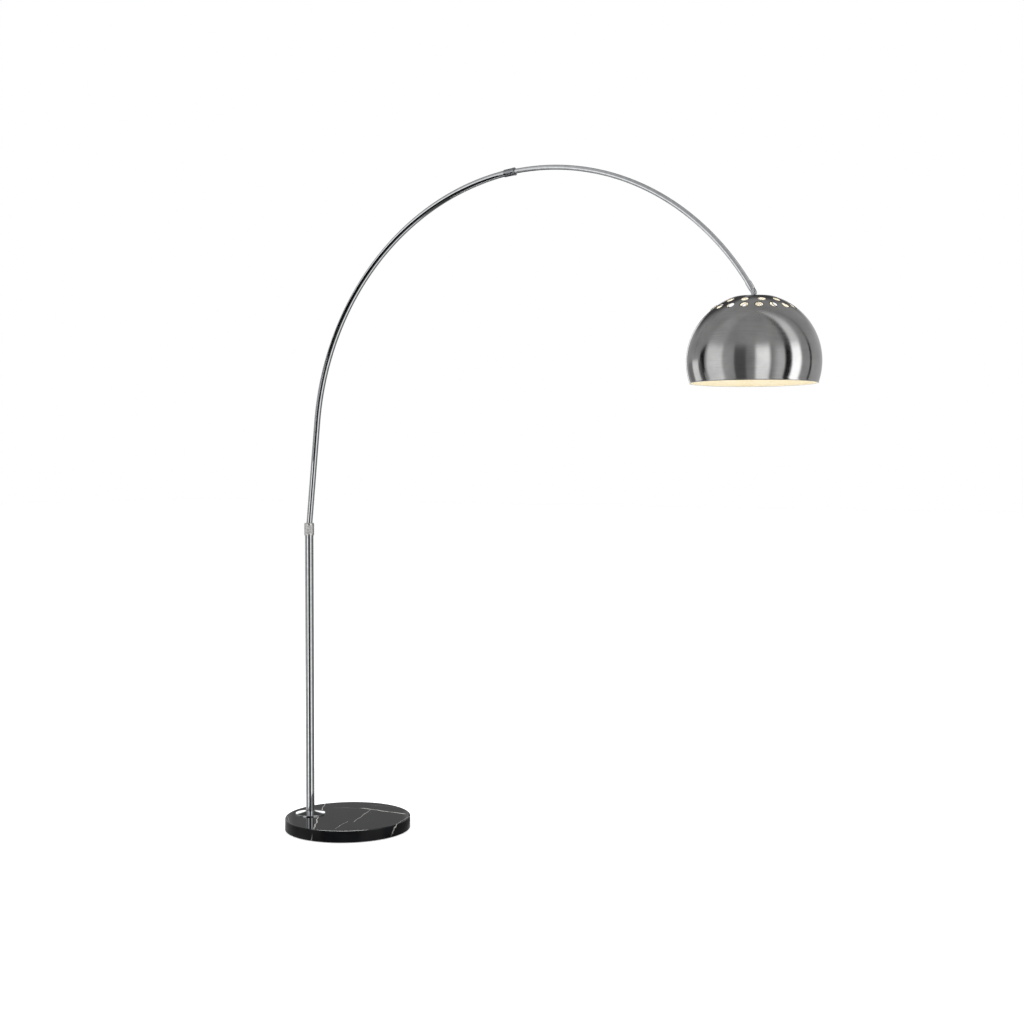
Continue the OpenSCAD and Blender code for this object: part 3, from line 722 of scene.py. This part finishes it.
def diamond_knurl(r, s, t):
    """Pyramids left by two crossing sets of spiral grooves: the depth is the smaller of two
    saw-tooth heights over s / pitch plus and minus the turn, faded out at both ends."""
    turn = KNURL_STARTS * t / FULL_TURN

    def height(value):
        return 1 - np.abs(2 * (value - np.floor(value)) - 1)

    ridge = np.minimum(height(s / KNURL_PITCH + turn), height(s / KNURL_PITCH - turn))
    fade = np.clip((s - knurl_low) / 0.5, 0, 1) * np.clip((knurl_high - s) / 0.5, 0, 1)
    return np.where(r > collar_r - 0.1, KNURL_DEPTH * (1 - ridge) * fade, 0)


shelf_z = ends("pole_bush")[1][2] + 0.5
collar_bore_low, collar_bore_top = pole_r + 0.06, 10.64
piece(
    "knurled_collar",
    [
        turned(
            rounded(
                [
                    (collar_r, collar_low[2], 0.5),
                    (collar_r, collar_high[2], 2.6),
                    (collar_bore_top, collar_high[2], 0.5),
                    (collar_bore_top, shelf_z, 0.1),
                    (collar_bore_low, shelf_z, 0.1),
                    (collar_bore_low, collar_low[2], 0.4),
                ],
                run=0.25,
            ),
            at_pole,
            KNURL_STARTS * 8,
            diamond_knurl,
        )
    ],
    "collar",
    "satin_collar",
    [satin_nickel],
    "locking_collar",
)

# ---- Arm ----

LOWER_R, LOWER_BORE, UPPER_R, UPPER_BORE = 8.5, 7.3, 6.5, 5.5
spigot_low = ends("lower_arc_tube")[0][2] - set_z
piece(
    "lower_arc",
    [turned(pipe(LOWER_R, LOWER_BORE, spigot_low, MOUTH, run=9), on_arm, 64)],
    "lower_arm",
    "chrome",
    [chrome],
    "lower_arc_tube",
)
piece(
    "upper_arc",
    [turned(pipe(UPPER_R, UPPER_BORE, UPPER_IN, ARM_END, run=9), on_arm, 56)],
    "upper_arm",
    "chrome",
    [chrome],
    "upper_arc_tube",
)
SLEEVE_HALF, SLEEVE_LIP = 15.5, 1.6
SLEEVE_BACK_R, SLEEVE_MOUTH_R, SLEEVE_BORE, SLEEVE_LIP_BORE = 9.8, 10.4, 9.02, 7.17
piece(
    "lock_sleeve_shell",
    [
        turned(
            rounded(
                [
                    (SLEEVE_BACK_R, -SLEEVE_HALF, 0.3),
                    (SLEEVE_BACK_R + 0.12, -SLEEVE_HALF + 6, 4),
                    (SLEEVE_BACK_R + 0.12, SLEEVE_HALF - 9, 4),
                    (SLEEVE_MOUTH_R, SLEEVE_HALF - 4, 2),
                    (SLEEVE_MOUTH_R, SLEEVE_HALF, 0.7),
                    (SLEEVE_LIP_BORE, SLEEVE_HALF, 0.3),
                    (SLEEVE_LIP_BORE, SLEEVE_HALF - SLEEVE_LIP, 0.2),
                    (SLEEVE_BORE, SLEEVE_HALF - SLEEVE_LIP, 0.1),
                    (SLEEVE_BORE, -SLEEVE_HALF, 0.2),
                ]
            ),
            along(sleeve_mid, sleeve_axis),
            72,
        )
    ],
    "arm_lock",
    "chrome",
    [sleeve_chrome],
    "lock_sleeve",
)

arm_end = on_arm(np.array([0.0]), np.array([ARM_END]), np.array([0.0]))[0]
end_turn = LEAN + LOWER_BEND + UPPER_SHOW
end_axis = np.array([math.sin(end_turn), 0, math.cos(end_turn)])
FERRULE_R, FERRULE_BORE, FERRULE_HOLE, FERRULE_LAP, FERRULE_PAST = 7.6, 6.62, 4.5, 16, 3
piece(
    "arm_ferrule",
    [
        turned(
            rounded(
                [
                    (FERRULE_R, -FERRULE_LAP, 0.5),
                    (FERRULE_R, FERRULE_PAST, 0.7),
                    (FERRULE_HOLE, FERRULE_PAST, 0.2),
                    (FERRULE_HOLE, 0.05, 0.1),
                    (FERRULE_BORE, 0.05, 0.1),
                    (FERRULE_BORE, -FERRULE_LAP, 0.2),
                ]
            ),
            along(arm_end, end_axis),
            72,
        )
    ],
    "upper_arm",
    "chrome",
    [chrome],
    "end_ferrule",
)
finished_copy("swivel_fork", "knuckle_fork", "upper_arm", chrome, 0.5)
finished_copy("pivot_screw", "knuckle_screw", "upper_arm", chrome, 0.25)
finished_copy("pivot_nut", "knuckle_nut", "upper_arm", chrome, 0.3)
finished_copy("swivel_tongue", "knuckle_tongue", "shade", chrome, 0.35)
finished_copy("fixing_nut", "foot_nut", "stand", zinc, 0.5)
finished_copy("lock_nut", "shade_nut", "shade", zinc, 0.3)

# ---- Shade ----

# Two rings of vents: how many, the polar angle of their middles, the azimuth of the first, and
# the band of polar angles that the ring's panels take up. Degrees.
VENT_RINGS = [(12, 28, 7, 23, 33), (18, 38, 0, 33, 46)]
VENT_BAND_LOW, VENT_BAND_HIGH = math.radians(23), math.radians(46)
SHADE_AROUND = 360
PANEL_SIDE = 12


def on_sphere(radius, polar, azimuth):
    """Point of a sphere about the shade's centre at a polar angle and an azimuth."""
    return np.stack(
        [
            shade_x + radius * np.sin(polar) * np.cos(azimuth),
            shade_y + radius * np.sin(polar) * np.sin(azimuth),
            shade_cz + radius * np.cos(polar) + 0 * azimuth,
        ],
        -1,
    )


def vent_panel(ring, number, radius, lip_r, rows=7):
    """Part of the dome between a vent's edge and the sides of its sector.

    The panel's border is the sector's outline in polar angle and azimuth. The hole's edge is
    the circle of lip_r about the vent's own axis. Rows go from one to the other in growing
    shares of both angles, so every point is on the sphere.
    """
    count, polar, first, low, high = ring
    polar, low, high = np.radians([polar, low, high])
    across = SHADE_AROUND // count
    half = math.pi / count
    top = np.linspace(-1, 1, across + 1)[:-1]
    side = np.linspace(-1, 1, PANEL_SIDE + 1)[:-1]
    u = np.concatenate([top, np.ones(PANEL_SIDE), -top, -np.ones(PANEL_SIDE)])
    v = np.concatenate([-np.ones(across), side, np.ones(across), -side])
    border_polar = low + (high - low) * (v + 1) / 2
    border_azimuth = u * half
    bearing = np.arctan2(border_polar - polar, border_azimuth * np.sin(border_polar))
    spread = math.asin(lip_r / radius)
    e = math.sin(spread) * np.cos(bearing)
    n = math.sin(spread) * np.sin(bearing)
    x = math.cos(spread) * math.sin(polar) + n * math.cos(polar)
    z = math.cos(spread) * math.cos(polar) - n * math.sin(polar)
    hole_polar, hole_azimuth = np.arccos(z), np.arctan2(e, x)
    share = (np.linspace(0, 1, rows) ** 1.4)[:, None]
    polars = hole_polar + (border_polar - hole_polar) * share
    azimuths = hole_azimuth + (border_azimuth - hole_azimuth) * share
    azimuths = azimuths + math.radians(first + number * 360 / count)
    spots = on_sphere(radius, polars, azimuths).reshape(-1, 3)
    return spots, grid(rows, len(u), join_rows=False), bearing


def vent_wall(ring, number, bearing, lip):
    """Rolled edge of a vent: a quarter of an ellipse at each face, VENT_ROLL plus lip wide."""
    count, polar, first = ring[:3]
    polar, at = math.radians(polar), math.radians(first + number * 360 / count)
    a = np.linspace(0, math.pi / 2, 7)
    out_r = VENT_R - VENT_ROLL + (VENT_ROLL + lip) * (1 - np.sin(a))
    out_h = np.sqrt(SHADE_R**2 - out_r**2) - lip * (1 - np.cos(a))
    in_r = out_r[::-1]
    in_h = np.sqrt((SHADE_R - SHADE_WALL) ** 2 - in_r**2) + lip * (1 - np.cos(a))[::-1]
    r = np.concatenate([out_r, in_r])[:, None]
    h = np.concatenate([out_h, in_h])[:, None]
    e, n = r * np.cos(bearing), r * np.sin(bearing)
    x = h * math.sin(polar) + n * math.cos(polar)
    z = h * math.cos(polar) - n * math.sin(polar)
    spots = np.stack(
        [
            shade_x + x * math.cos(at) - e * math.sin(at),
            shade_y + x * math.sin(at) + e * math.cos(at),
            shade_cz + z + 0 * e,
        ],
        -1,
    )
    return spots.reshape(-1, 3), grid(len(r), len(bearing), join_rows=False)


def cap_outline(radius, top, bore, soften):
    """Half outline above the vents: flat from the bore, a soft shoulder, then the sphere.

    The shoulder's circle touches the flat from below and the sphere from inside.
    """
    centre_z = top - soften
    centre_r = math.sqrt((radius - soften) ** 2 - centre_z**2)
    lean = math.atan2(centre_r, centre_z)
    bend = np.linspace(0, lean, 7)
    shoulder = np.stack([centre_r + soften * np.sin(bend), centre_z + soften * np.cos(bend)], 1)
    flat = np.stack([np.linspace(bore, centre_r, 9)[:-1], np.full(8, top)], 1)
    polar = np.linspace(lean, VENT_BAND_LOW, 8)[1:]
    ball = np.stack([radius * np.sin(polar), radius * np.cos(polar)], 1)
    return np.concatenate([flat, shoulder, ball]) + [0, shade_cz]


def skirt_outline():
    """Outline below the vents: down the outer sphere, round the rolled bead, up the inner."""
    rim_r = math.sqrt(SHADE_R**2 - SHADE_RIM_H**2)
    bead = np.array([rim_r - RIM_BEAD_R * 0.6, -SHADE_RIM_H])
    a = np.radians(np.linspace(35, -285, 21))
    roll = bead + RIM_BEAD_R * np.stack([np.cos(a), np.sin(a)], 1)
    outer_end = math.atan2(roll[0, 0], roll[0, 1])
    inner_end = math.atan2(roll[-1, 0], roll[-1, 1])
    outer = np.append(np.linspace(VENT_BAND_HIGH, outer_end - 0.01, 44), outer_end - 0.004)
    inner = np.insert(np.linspace(inner_end - 0.01, VENT_BAND_HIGH, 44), 0, inner_end - 0.004)
    down = SHADE_R * np.stack([np.sin(outer), np.cos(outer)], 1)
    up = (SHADE_R - SHADE_WALL) * np.stack([np.sin(inner), np.cos(inner)], 1)
    shift = [0, shade_cz]
    return np.concatenate([down, roll[:12]]) + shift, np.concatenate([roll[11:], up]) + shift


def shade_surfaces():
    """Every surface of the dome: 0 is the brushed outside, 1 the enamel inside, 2 the vents'
    rolled edges, painted dark as a shadow line."""
    lip, bore = 0.3, 5.25
    inner_r, inner_top = SHADE_R - SHADE_WALL, SHADE_TOP_H - SHADE_WALL
    outer_cap = cap_outline(SHADE_R, SHADE_TOP_H, bore + 0.2, 10)
    inner_cap = cap_outline(inner_r, inner_top, bore + 0.2, 9)
    down, up = skirt_outline()
    eyelet = [
        outer_cap[0],
        (bore, outer_cap[0, 1] - 0.2),
        (bore, inner_cap[0, 1] + 0.2),
        inner_cap[0],
    ]
    outlines = [(outer_cap, 0), (down, 0), (np.array(eyelet), 0), (up, 1), (inner_cap, 1)]
    surfaces = [(*strip(outline, at_shade, SHADE_AROUND), side) for outline, side in outlines]
    for ring in VENT_RINGS:
        for number in range(ring[0]):
            outer = vent_panel(ring, number, SHADE_R, VENT_R + lip)
            inner = vent_panel(ring, number, inner_r, VENT_R + lip)
            surfaces += [(*outer[:2], 0), (*inner[:2], 1)]
            surfaces.append((*vent_wall(ring, number, outer[2], lip), 2))
    return surfaces


# The vents' rolled edges take the painted shadow finish, a near-black outline round each vent
piece(
    "spun_dome",
    shade_surfaces(),
    "shade",
    "shade_metal",
    [spun, enamel, painted_shadow_edge],
    "shade_dome",
    sharp=50,
)

CAP_R, CAP_T = 13, 2.5
NIPPLE_HOLE_R = 5.05
piece(
    "shade_top_cap",
    [
        turned(
            rounded(
                [
                    (CAP_R, shade_flat_z, 0.1),
                    (CAP_R, shade_flat_z + 1, 0.4),
                    (CAP_R - CAP_T, shade_flat_z + CAP_T, 1.2),
                    (NIPPLE_HOLE_R, shade_flat_z + CAP_T, 0.1),
                    (NIPPLE_HOLE_R, shade_flat_z, 0.1),
                ]
            ),
            at_shade,
            72,
        )
    ],
    "shade",
    "chrome",
    [chrome],
    "shade_cap",
)

# ---- Lampholder and bulb ----

body_low = ends("lampholder_body")[0][2]
body_top = ends("lampholder_body")[1][2]
holder_top = ends("lampholder_cap")[1][2]
holder_r = (ends("lampholder_cap")[1][0] - ends("lampholder_cap")[0][0]) / 2
ring_low, ring_high = ends("lampholder_ring")
HOLDER_WALL, HOLDER_SHOULDER, HOLDER_SEAT = 2, 5, 16


def ribs(depth, count, low, high, outer):
    """Grip ribs along a ring: depth times a rounded wave round the turn, faded at both ends."""

    def relief(r, s, t):
        wave = (1 - np.cos(count * t)) / 2
        fade = np.clip((s - low) / 1.0, 0, 1) * np.clip((high - s) / 1.0, 0, 1)
        return np.where(r > outer - 0.05, depth * wave**2 * fade, 0)

    return relief


piece(
    "holder_cap",
    [
        turned(
            rounded(
                [
                    (holder_r, body_top, 0.3),
                    (holder_r, holder_top - HOLDER_SHOULDER, 4),
                    (holder_r - HOLDER_SHOULDER, holder_top, 3),
                    (NIPPLE_HOLE_R, holder_top, 0.3),
                    (NIPPLE_HOLE_R, body_top + HOLDER_SEAT, 0.2),
                    (holder_r - HOLDER_WALL, body_top + HOLDER_SEAT, 1),
                    (holder_r - HOLDER_WALL, body_top, 0.3),
                ]
            ),
            at_shade,
            96,
        )
    ],
    "shade",
    "holder_plastic",
    [holder_plastic],
    "lampholder_cap",
)
piece(
    "holder_body",
    [turned(pipe(holder_r - 0.05, holder_r - HOLDER_WALL, body_low, body_top, 0.4), at_shade, 96)],
    "shade",
    "holder_plastic",
    [holder_plastic],
    "lampholder_body",
)
ring_r = (ring_high[0] - ring_low[0]) / 2
piece(
    "holder_ring",
    [
        turned(
            pipe(ring_r, holder_r, ring_low[2], ring_high[2], 0.8, run=0.7),
            at_shade,
            240,
            ribs(0.7, 40, ring_low[2] + 1, ring_high[2] - 1, ring_r),
        )
    ],
    "shade",
    "holder_plastic",
    [holder_plastic],
    "lampholder_ring",
)

THREAD_PITCH = 3.62
SCREW_CAP_R, SHELL_R, SHEET = 13.2, 14.1, 0.5


def screw_thread(depth, low, high):
    """Rolled round thread of a bulb cap: a sine wave in s / pitch plus the turn, on both faces."""

    def relief(r, s, t):
        wave = (1 + np.cos(FULL_TURN * s / THREAD_PITCH - t)) / 2
        fade = np.clip((s - low) / 2, 0, 1) * np.clip((high - s) / 2, 0, 1)
        return depth * wave * fade

    return relief


cap_low, cap_high = ends("bulb_cap")
piece(
    "bulb_screw_cap",
    [
        turned(
            pipe(SCREW_CAP_R, SCREW_CAP_R - SHEET, cap_low[2], cap_high[2], 0.15, run=0.45),
            at_shade,
            72,
            screw_thread(0.8, cap_low[2] + 2, cap_high[2] - 1),
        )
    ],
    "shade",
    "bulb_metal",
    [tin],
    "bulb_cap",
)
shell_low, shell_high = ends("thread_shell")
piece(
    "holder_thread_shell",
    [
        turned(
            pipe(SHELL_R, SHELL_R - SHEET, shell_low[2], shell_high[2], 0.15, run=0.45),
            at_shade,
            72,
            screw_thread(0.35, shell_low[2] + 2, shell_high[2] - 2),
        )
    ],
    "shade",
    "brass",
    [brass],
    "thread_shell",
)

bulb_low, bulb_high = ends("bulb_glass")
BULB_R, BULB_DROP, NECK_R, GLASS_WALL = 30, 47, 12.2, 0.8
bulb_z = bulb_low[2] + BULB_R


def bulb_outline(inset, points=90):
    """Pear outline: a ball, then a smooth blend from its shoulder to the neck.

    The blend is a cubic that leaves the ball along its tangent and meets the neck upright.
    """
    r, neck = BULB_R - inset, NECK_R - inset
    shoulder = math.radians(52)
    polar = np.linspace(math.pi, shoulder, points)
    ball = np.stack([r * np.sin(polar), r * np.cos(polar)], 1)
    start, stop = ball[-1], np.array([neck, BULB_DROP - 4])
    gap = np.linalg.norm(stop - start)
    leave = np.array([-math.cos(shoulder), math.sin(shoulder)]) * gap
    arrive = np.array([0, 1.0]) * gap
    u = np.linspace(0, 1, 24)[1:, None]
    blend = (2 * u**3 - 3 * u**2 + 1) * start + (u**3 - 2 * u**2 + u) * leave
    blend = blend + (3 * u**2 - 2 * u**3) * stop + (u**3 - u**2) * arrive
    top = np.array([[neck, bulb_high[2] - bulb_z - inset], [0, bulb_high[2] - bulb_z - inset]])
    return np.concatenate([ball, blend, top]) + [0, bulb_z]


piece(
    "opal_bulb",
    [strip(bulb_outline(0), at_shade, 96), strip(bulb_outline(GLASS_WALL), at_shade, 96)],
    "shade",
    "bulb_glass",
    [opal],
    "bulb_glass",
)

# ---- CAD pieces that stay, with their finishes ----

KEPT = {
    "felt_pad": felt,
    "cord_grommet": rubber,
    "fixing_washer": zinc,
    "spring_washer": zinc,
    "pole_plug": zinc,
    "pole_bush": nylon,
    "spigot_glide": nylon,
    "arm_collet": nylon,
    "arm_glide": nylon,
    "inner_washer": zinc,
    "threaded_nipple": brass,
    "contact_block": ceramic,
    "centre_contact": brass,
    "bulb_insulator": vitrite,
    "bulb_contact": tin,
}
for node, finish in KEPT.items():
    nodes[node].data.materials.clear()
    nodes[node].data.materials.append(finish)

# ---- Stage, light and camera ----

CAMERA_PLACE = (2.5857, -3.2671, 1.0171)
CAMERA_LENS, CAMERA_TILT = 52.1, 88.23
turn = math.radians(VIEW_AZIMUTH)
to_camera = Vector((math.sin(turn), -math.cos(turn), 0))
camera_right = Vector((math.cos(turn), math.sin(turn), 0))


def floor_sheet():
    """Plain white sheet under the lamp."""
    mesh = bpy.data.meshes.new("floor")
    reach = 30
    corners = [(-reach, -reach, 0), (reach, -reach, 0), (reach, reach, 0), (-reach, reach, 0)]
    mesh.from_pydata(corners, [], [(0, 1, 2, 3)])
    material, tree, shader = new_finish("matt_white_paper", {"Roughness": 0.9})
    tinted(tree, shader, between(tree, speckle(tree, 400), 0.3, 0.7), "#F6F6F6", "#FAFAFA")
    shader.inputs["Emission Color"].default_value = (1, 1, 1, 1)
    shader.inputs["Emission Strength"].default_value = 0.5
    mesh.materials.append(material)
    sheet = bpy.data.objects.new("floor", mesh)
    bpy.context.scene.collection.objects.link(sheet)
    sheet.visible_glossy = False


# The studio round the lamp, by the angle from the camera's side towards its right: how bright
# the wall is at each angle in degrees, level with the eye and higher up.
STUDIO_WALL = [
    (-177, 1.8),
    (-176.5, 0.235),
    (-170.5, 0.235),
    (-170, 1.8),
    (-166, 1.8),
    (-164, 0.5),
    (-98, 0.5),
    (-93, 1.4),
    (-66, 1.5),
    (-61, 0.7),
    (-43, 0.6),
    (-41, 0.16),
    (-24, 0.16),
    (-20, 0.4),
    (-8, 0.5),
    (-3, 1.9),
    (16, 1.9),
    (21, 0.35),
    (34, 1.0),
    (44, 1.0),
    (46, 0.01),
    (57, 0.01),
    (60, 3.0),
    (75, 3.0),
    (80, 0.6),
    (99, 0.6),
    (100, 0.03),
    (104, 0.03),
    (105, 0.6),
    (174, 0.6),
    (178, 1.8),
    (180, 1.8),
]
STUDIO_UPPER_WALL = [
    (-180, 0.5),
    (-100, 0.5),
    (-90, 0.65),
    (-66, 0.65),
    (-56, 0.52),
    (40, 0.5),
    (50, 0.15),
    (57, 0.15),
    (61, 1.3),
    (76, 1.3),
    (84, 0.55),
    (98, 0.5),
    (101, 0.2),
    (106, 0.5),
    (180, 0.5),
]
# Share of the upper wall by the height of the direction, then brightness by that height
STUDIO_UPPER_SHARE = [(-1, 0.0), (0.28, 0.0), (0.46, 1.0), (1, 1.0)]
STUDIO_HEIGHT = [(-1, 0.05), (-0.75, 0.06), (-0.55, 1.0), (0.8, 1.0), (1, 0.9)]
# Dark cloth behind the lamp: how much of it there is by angle, and how dark it is by height
CLOTH_SHARE = [(-180, 1.0), (-160, 1.0), (-140, 0.0), (140, 0.0), (160, 1.0), (180, 1.0)]
CLOTH_HEIGHT = [(-1, 1.0), (0.3, 1.0), (0.4, 0.15), (0.7, 0.15), (0.82, 1.0), (1, 1.0)]


def ramp(tree, value, stops, low, high):
    """Colour ramp over low..high from pairs of place and brightness."""
    node = tree.nodes.new("ShaderNodeValToRGB")
    share = between(tree, value, low, high)
    tree.links.new(share, node.inputs["Fac"])
    elements = node.color_ramp.elements
    for i, (at, bright) in enumerate(stops):
        place = (at - low) / (high - low)
        stop = elements[i] if i < 2 else elements.new(place)
        stop.position = place
        stop.color = (bright, bright, bright, 1)
    return node.outputs["Color"]


def level_reach(tree, look, way):
    """How far a direction points one way: their dot product."""
    product = add(tree, "VectorMath", {0: look, 1: way}, operation="DOT_PRODUCT")
    return product.node.outputs["Value"]


def studio():
    """Plain studio: a white sheet behind the lamp, and for reflections a wall of soft panels and
    grey cloths, by the angle round the lamp and the height of the direction."""
    world = bpy.data.worlds.new("studio")
    bpy.context.scene.world = world
    world.use_nodes = True
    tree = world.node_tree
    tree.nodes.clear()
    look = tree.nodes.new("ShaderNodeTexCoord").outputs["Generated"]
    ahead, right = level_reach(tree, look, to_camera), level_reach(tree, look, camera_right)
    angle = maths(tree, "MULTIPLY", maths(tree, "ARCTAN2", right, ahead), 180 / math.pi)
    height = add(tree, "SeparateXYZ", {"Vector": look}).node.outputs["Z"]
    upper_share = ramp(tree, height, STUDIO_UPPER_SHARE, -1, 1)
    lower_wall = ramp(tree, angle, STUDIO_WALL, -180, 180)
    upper_wall = ramp(tree, angle, STUDIO_UPPER_WALL, -180, 180)
    wall = blend(tree, upper_share, lower_wall, upper_wall)
    level = ramp(tree, height, STUDIO_HEIGHT, -1, 1)
    both = add(tree, "VectorMath", {0: wall, 1: level}, operation="MULTIPLY")
    cloth_share = ramp(tree, angle, CLOTH_SHARE, -180, 180)
    cloth = blend(tree, cloth_share, (1, 1, 1, 1), ramp(tree, height, CLOTH_HEIGHT, -1, 1))
    both = add(tree, "VectorMath", {0: both, 1: cloth}, operation="MULTIPLY")
    seen = tree.nodes.new("ShaderNodeLightPath").outputs["Is Camera Ray"]
    room = add(tree, "Background", {"Color": both, "Strength": 1.0})
    white = add(tree, "Background", {"Color": (1, 1, 1, 1), "Strength": 1.0})
    mixed = add(tree, "MixShader", {"Fac": seen, 1: room, 2: white})
    add(tree, "OutputWorld", {"Surface": mixed})


def soft_panel(name, place, aim, size, power):
    """Large area light."""
    light = bpy.data.lights.new(name, "AREA")
    light.shape = "RECTANGLE"
    light.size, light.size_y = size
    light.energy = power
    lamp = bpy.data.objects.new(name, light)
    lamp.location = place
    lamp.rotation_euler = (Vector(aim) - Vector(place)).to_track_quat("-Z", "Y").to_euler()
    bpy.context.scene.collection.objects.link(lamp)
    return lamp


# Tones of the cards round the pole, by the angle round the pole from the camera's side
CARD_TONES = [
    (-180, 0.6),
    (-90, 0.6),
    (-86, 0.32),
    (-58, 0.32),
    (-54, 1.6),
    (-33, 1.6),
    (-29, 0.02),
    (0, 0.02),
    (8, 0.16),
    (23, 0.18),
    (28, 1.4),
    (52, 1.4),
    (57, 0.32),
    (88, 0.32),
    (96, 0.18),
    (180, 0.18),
]
CARD_REACH, CARD_LOW, CARD_HIGH, CARD_FIRST, CARD_LAST = 520, -80, 1300, -124, 144
CARD_ROWS, CARD_COLUMNS = 8, 68


def reflected_only(thing):
    """Stage a card that only reflections see."""
    bpy.context.scene.collection.objects.link(thing)
    thing.visible_camera = False
    thing.visible_diffuse = False
    thing.visible_shadow = False


def pole_cards():
    """Ring of cards round the pole, seen only in reflections: they draw the dark line and the
    grey edges of chromed tube. Points go round the pole at CARD_REACH."""
    away_x, away_y = CAMERA_PLACE[0] - pole_x * MM, CAMERA_PLACE[1] - pole_y * MM
    front = math.degrees(math.atan2(away_y, away_x))
    t = np.radians(front + np.linspace(CARD_FIRST, CARD_LAST, CARD_COLUMNS))[None, :]
    z = np.linspace(CARD_LOW, CARD_HIGH, CARD_ROWS)[:, None]
    spots = at_pole(CARD_REACH + 0 * (t + z), z + 0 * t, t + 0 * z).reshape(-1, 3) * MM
    mesh = bpy.data.meshes.new("pole_cards")
    mesh.from_pydata(spots.tolist(), [], grid(CARD_ROWS, CARD_COLUMNS, False, False).tolist())
    material, tree, shader = new_finish("grey_cards", {"Roughness": 1.0, "Specular IOR Level": 0.0})
    shader.inputs["Base Color"].default_value = colour("#000000")
    to_pole = {"Vector": object_place(tree), "Location": (-pole_x * MM, -pole_y * MM, 0)}
    to_front = {"Vector": add(tree, "Mapping", to_pole), "Rotation": (0, 0, -math.radians(front))}
    local = add(tree, "VectorRotate", to_front, rotation_type="EULER_XYZ")
    x, y, _ = add(tree, "SeparateXYZ", {"Vector": local}).node.outputs
    angle = maths(tree, "MULTIPLY", maths(tree, "ARCTAN2", y, x), 180 / math.pi)
    tree.links.new(ramp(tree, angle, CARD_TONES, -180, 180), shader.inputs["Emission Color"])
    shader.inputs["Emission Strength"].default_value = 1.0
    mesh.materials.append(material)
    reflected_only(bpy.data.objects.new("pole_cards", mesh))


CARD_Y, CARD_LEFT, CARD_RIGHT, CARD_FOOT, CARD_HEAD = -550, -900, 250, 1000, 1690


def arc_card():
    """Upright black card beside the arc, seen only in reflections: it keeps the underside of the
    chromed tube dark."""
    mesh = bpy.data.meshes.new("arc_card")
    foot = [(CARD_LEFT, CARD_Y, CARD_FOOT), (CARD_RIGHT, CARD_Y, CARD_FOOT)]
    head = [(CARD_RIGHT, CARD_Y, CARD_HEAD), (CARD_LEFT, CARD_Y, CARD_HEAD)]
    mesh.from_pydata((np.array(foot + head) * MM).tolist(), [], [(0, 1, 2, 3)])
    material, tree, shader = new_finish("black_card", {"Roughness": 1.0, "Specular IOR Level": 0.0})
    tinted(tree, shader, between(tree, speckle(tree, 30), 0.3, 0.7), "#020202", "#060606")
    mesh.materials.append(material)
    reflected_only(bpy.data.objects.new("arc_card", mesh))


floor_sheet()
studio()
pole_cards()
arc_card()
overhead = soft_panel("overhead", place=(0.6, 0, 4.5), aim=(0.6, 0, 0), size=(6, 6), power=160)
overhead.visible_glossy = False
# Light for the polished edge of the stone alone
edge_light = soft_panel(
    "edge_light", place=(0.1, -0.2, 1.4), aim=(0, 0, 0), size=(2.2, 1.6), power=330
)
edge_light.visible_diffuse = False
edge_light.visible_camera = False
stone_only = bpy.data.collections.new("stone_only")
stone_only.objects.link(bpy.data.objects["stone_disc"])
edge_light.light_linking.receiver_collection = stone_only

camera_data = bpy.data.cameras.new("camera")
camera_data.sensor_width = 36
camera_data.lens = CAMERA_LENS
camera = bpy.data.objects.new("camera", camera_data)
camera.location = CAMERA_PLACE
camera.rotation_euler = (math.radians(CAMERA_TILT), 0, math.radians(VIEW_AZIMUTH))
bpy.context.scene.collection.objects.link(camera)
bpy.context.scene.camera = camera
bpy.context.scene.view_settings.view_transform = "Standard"
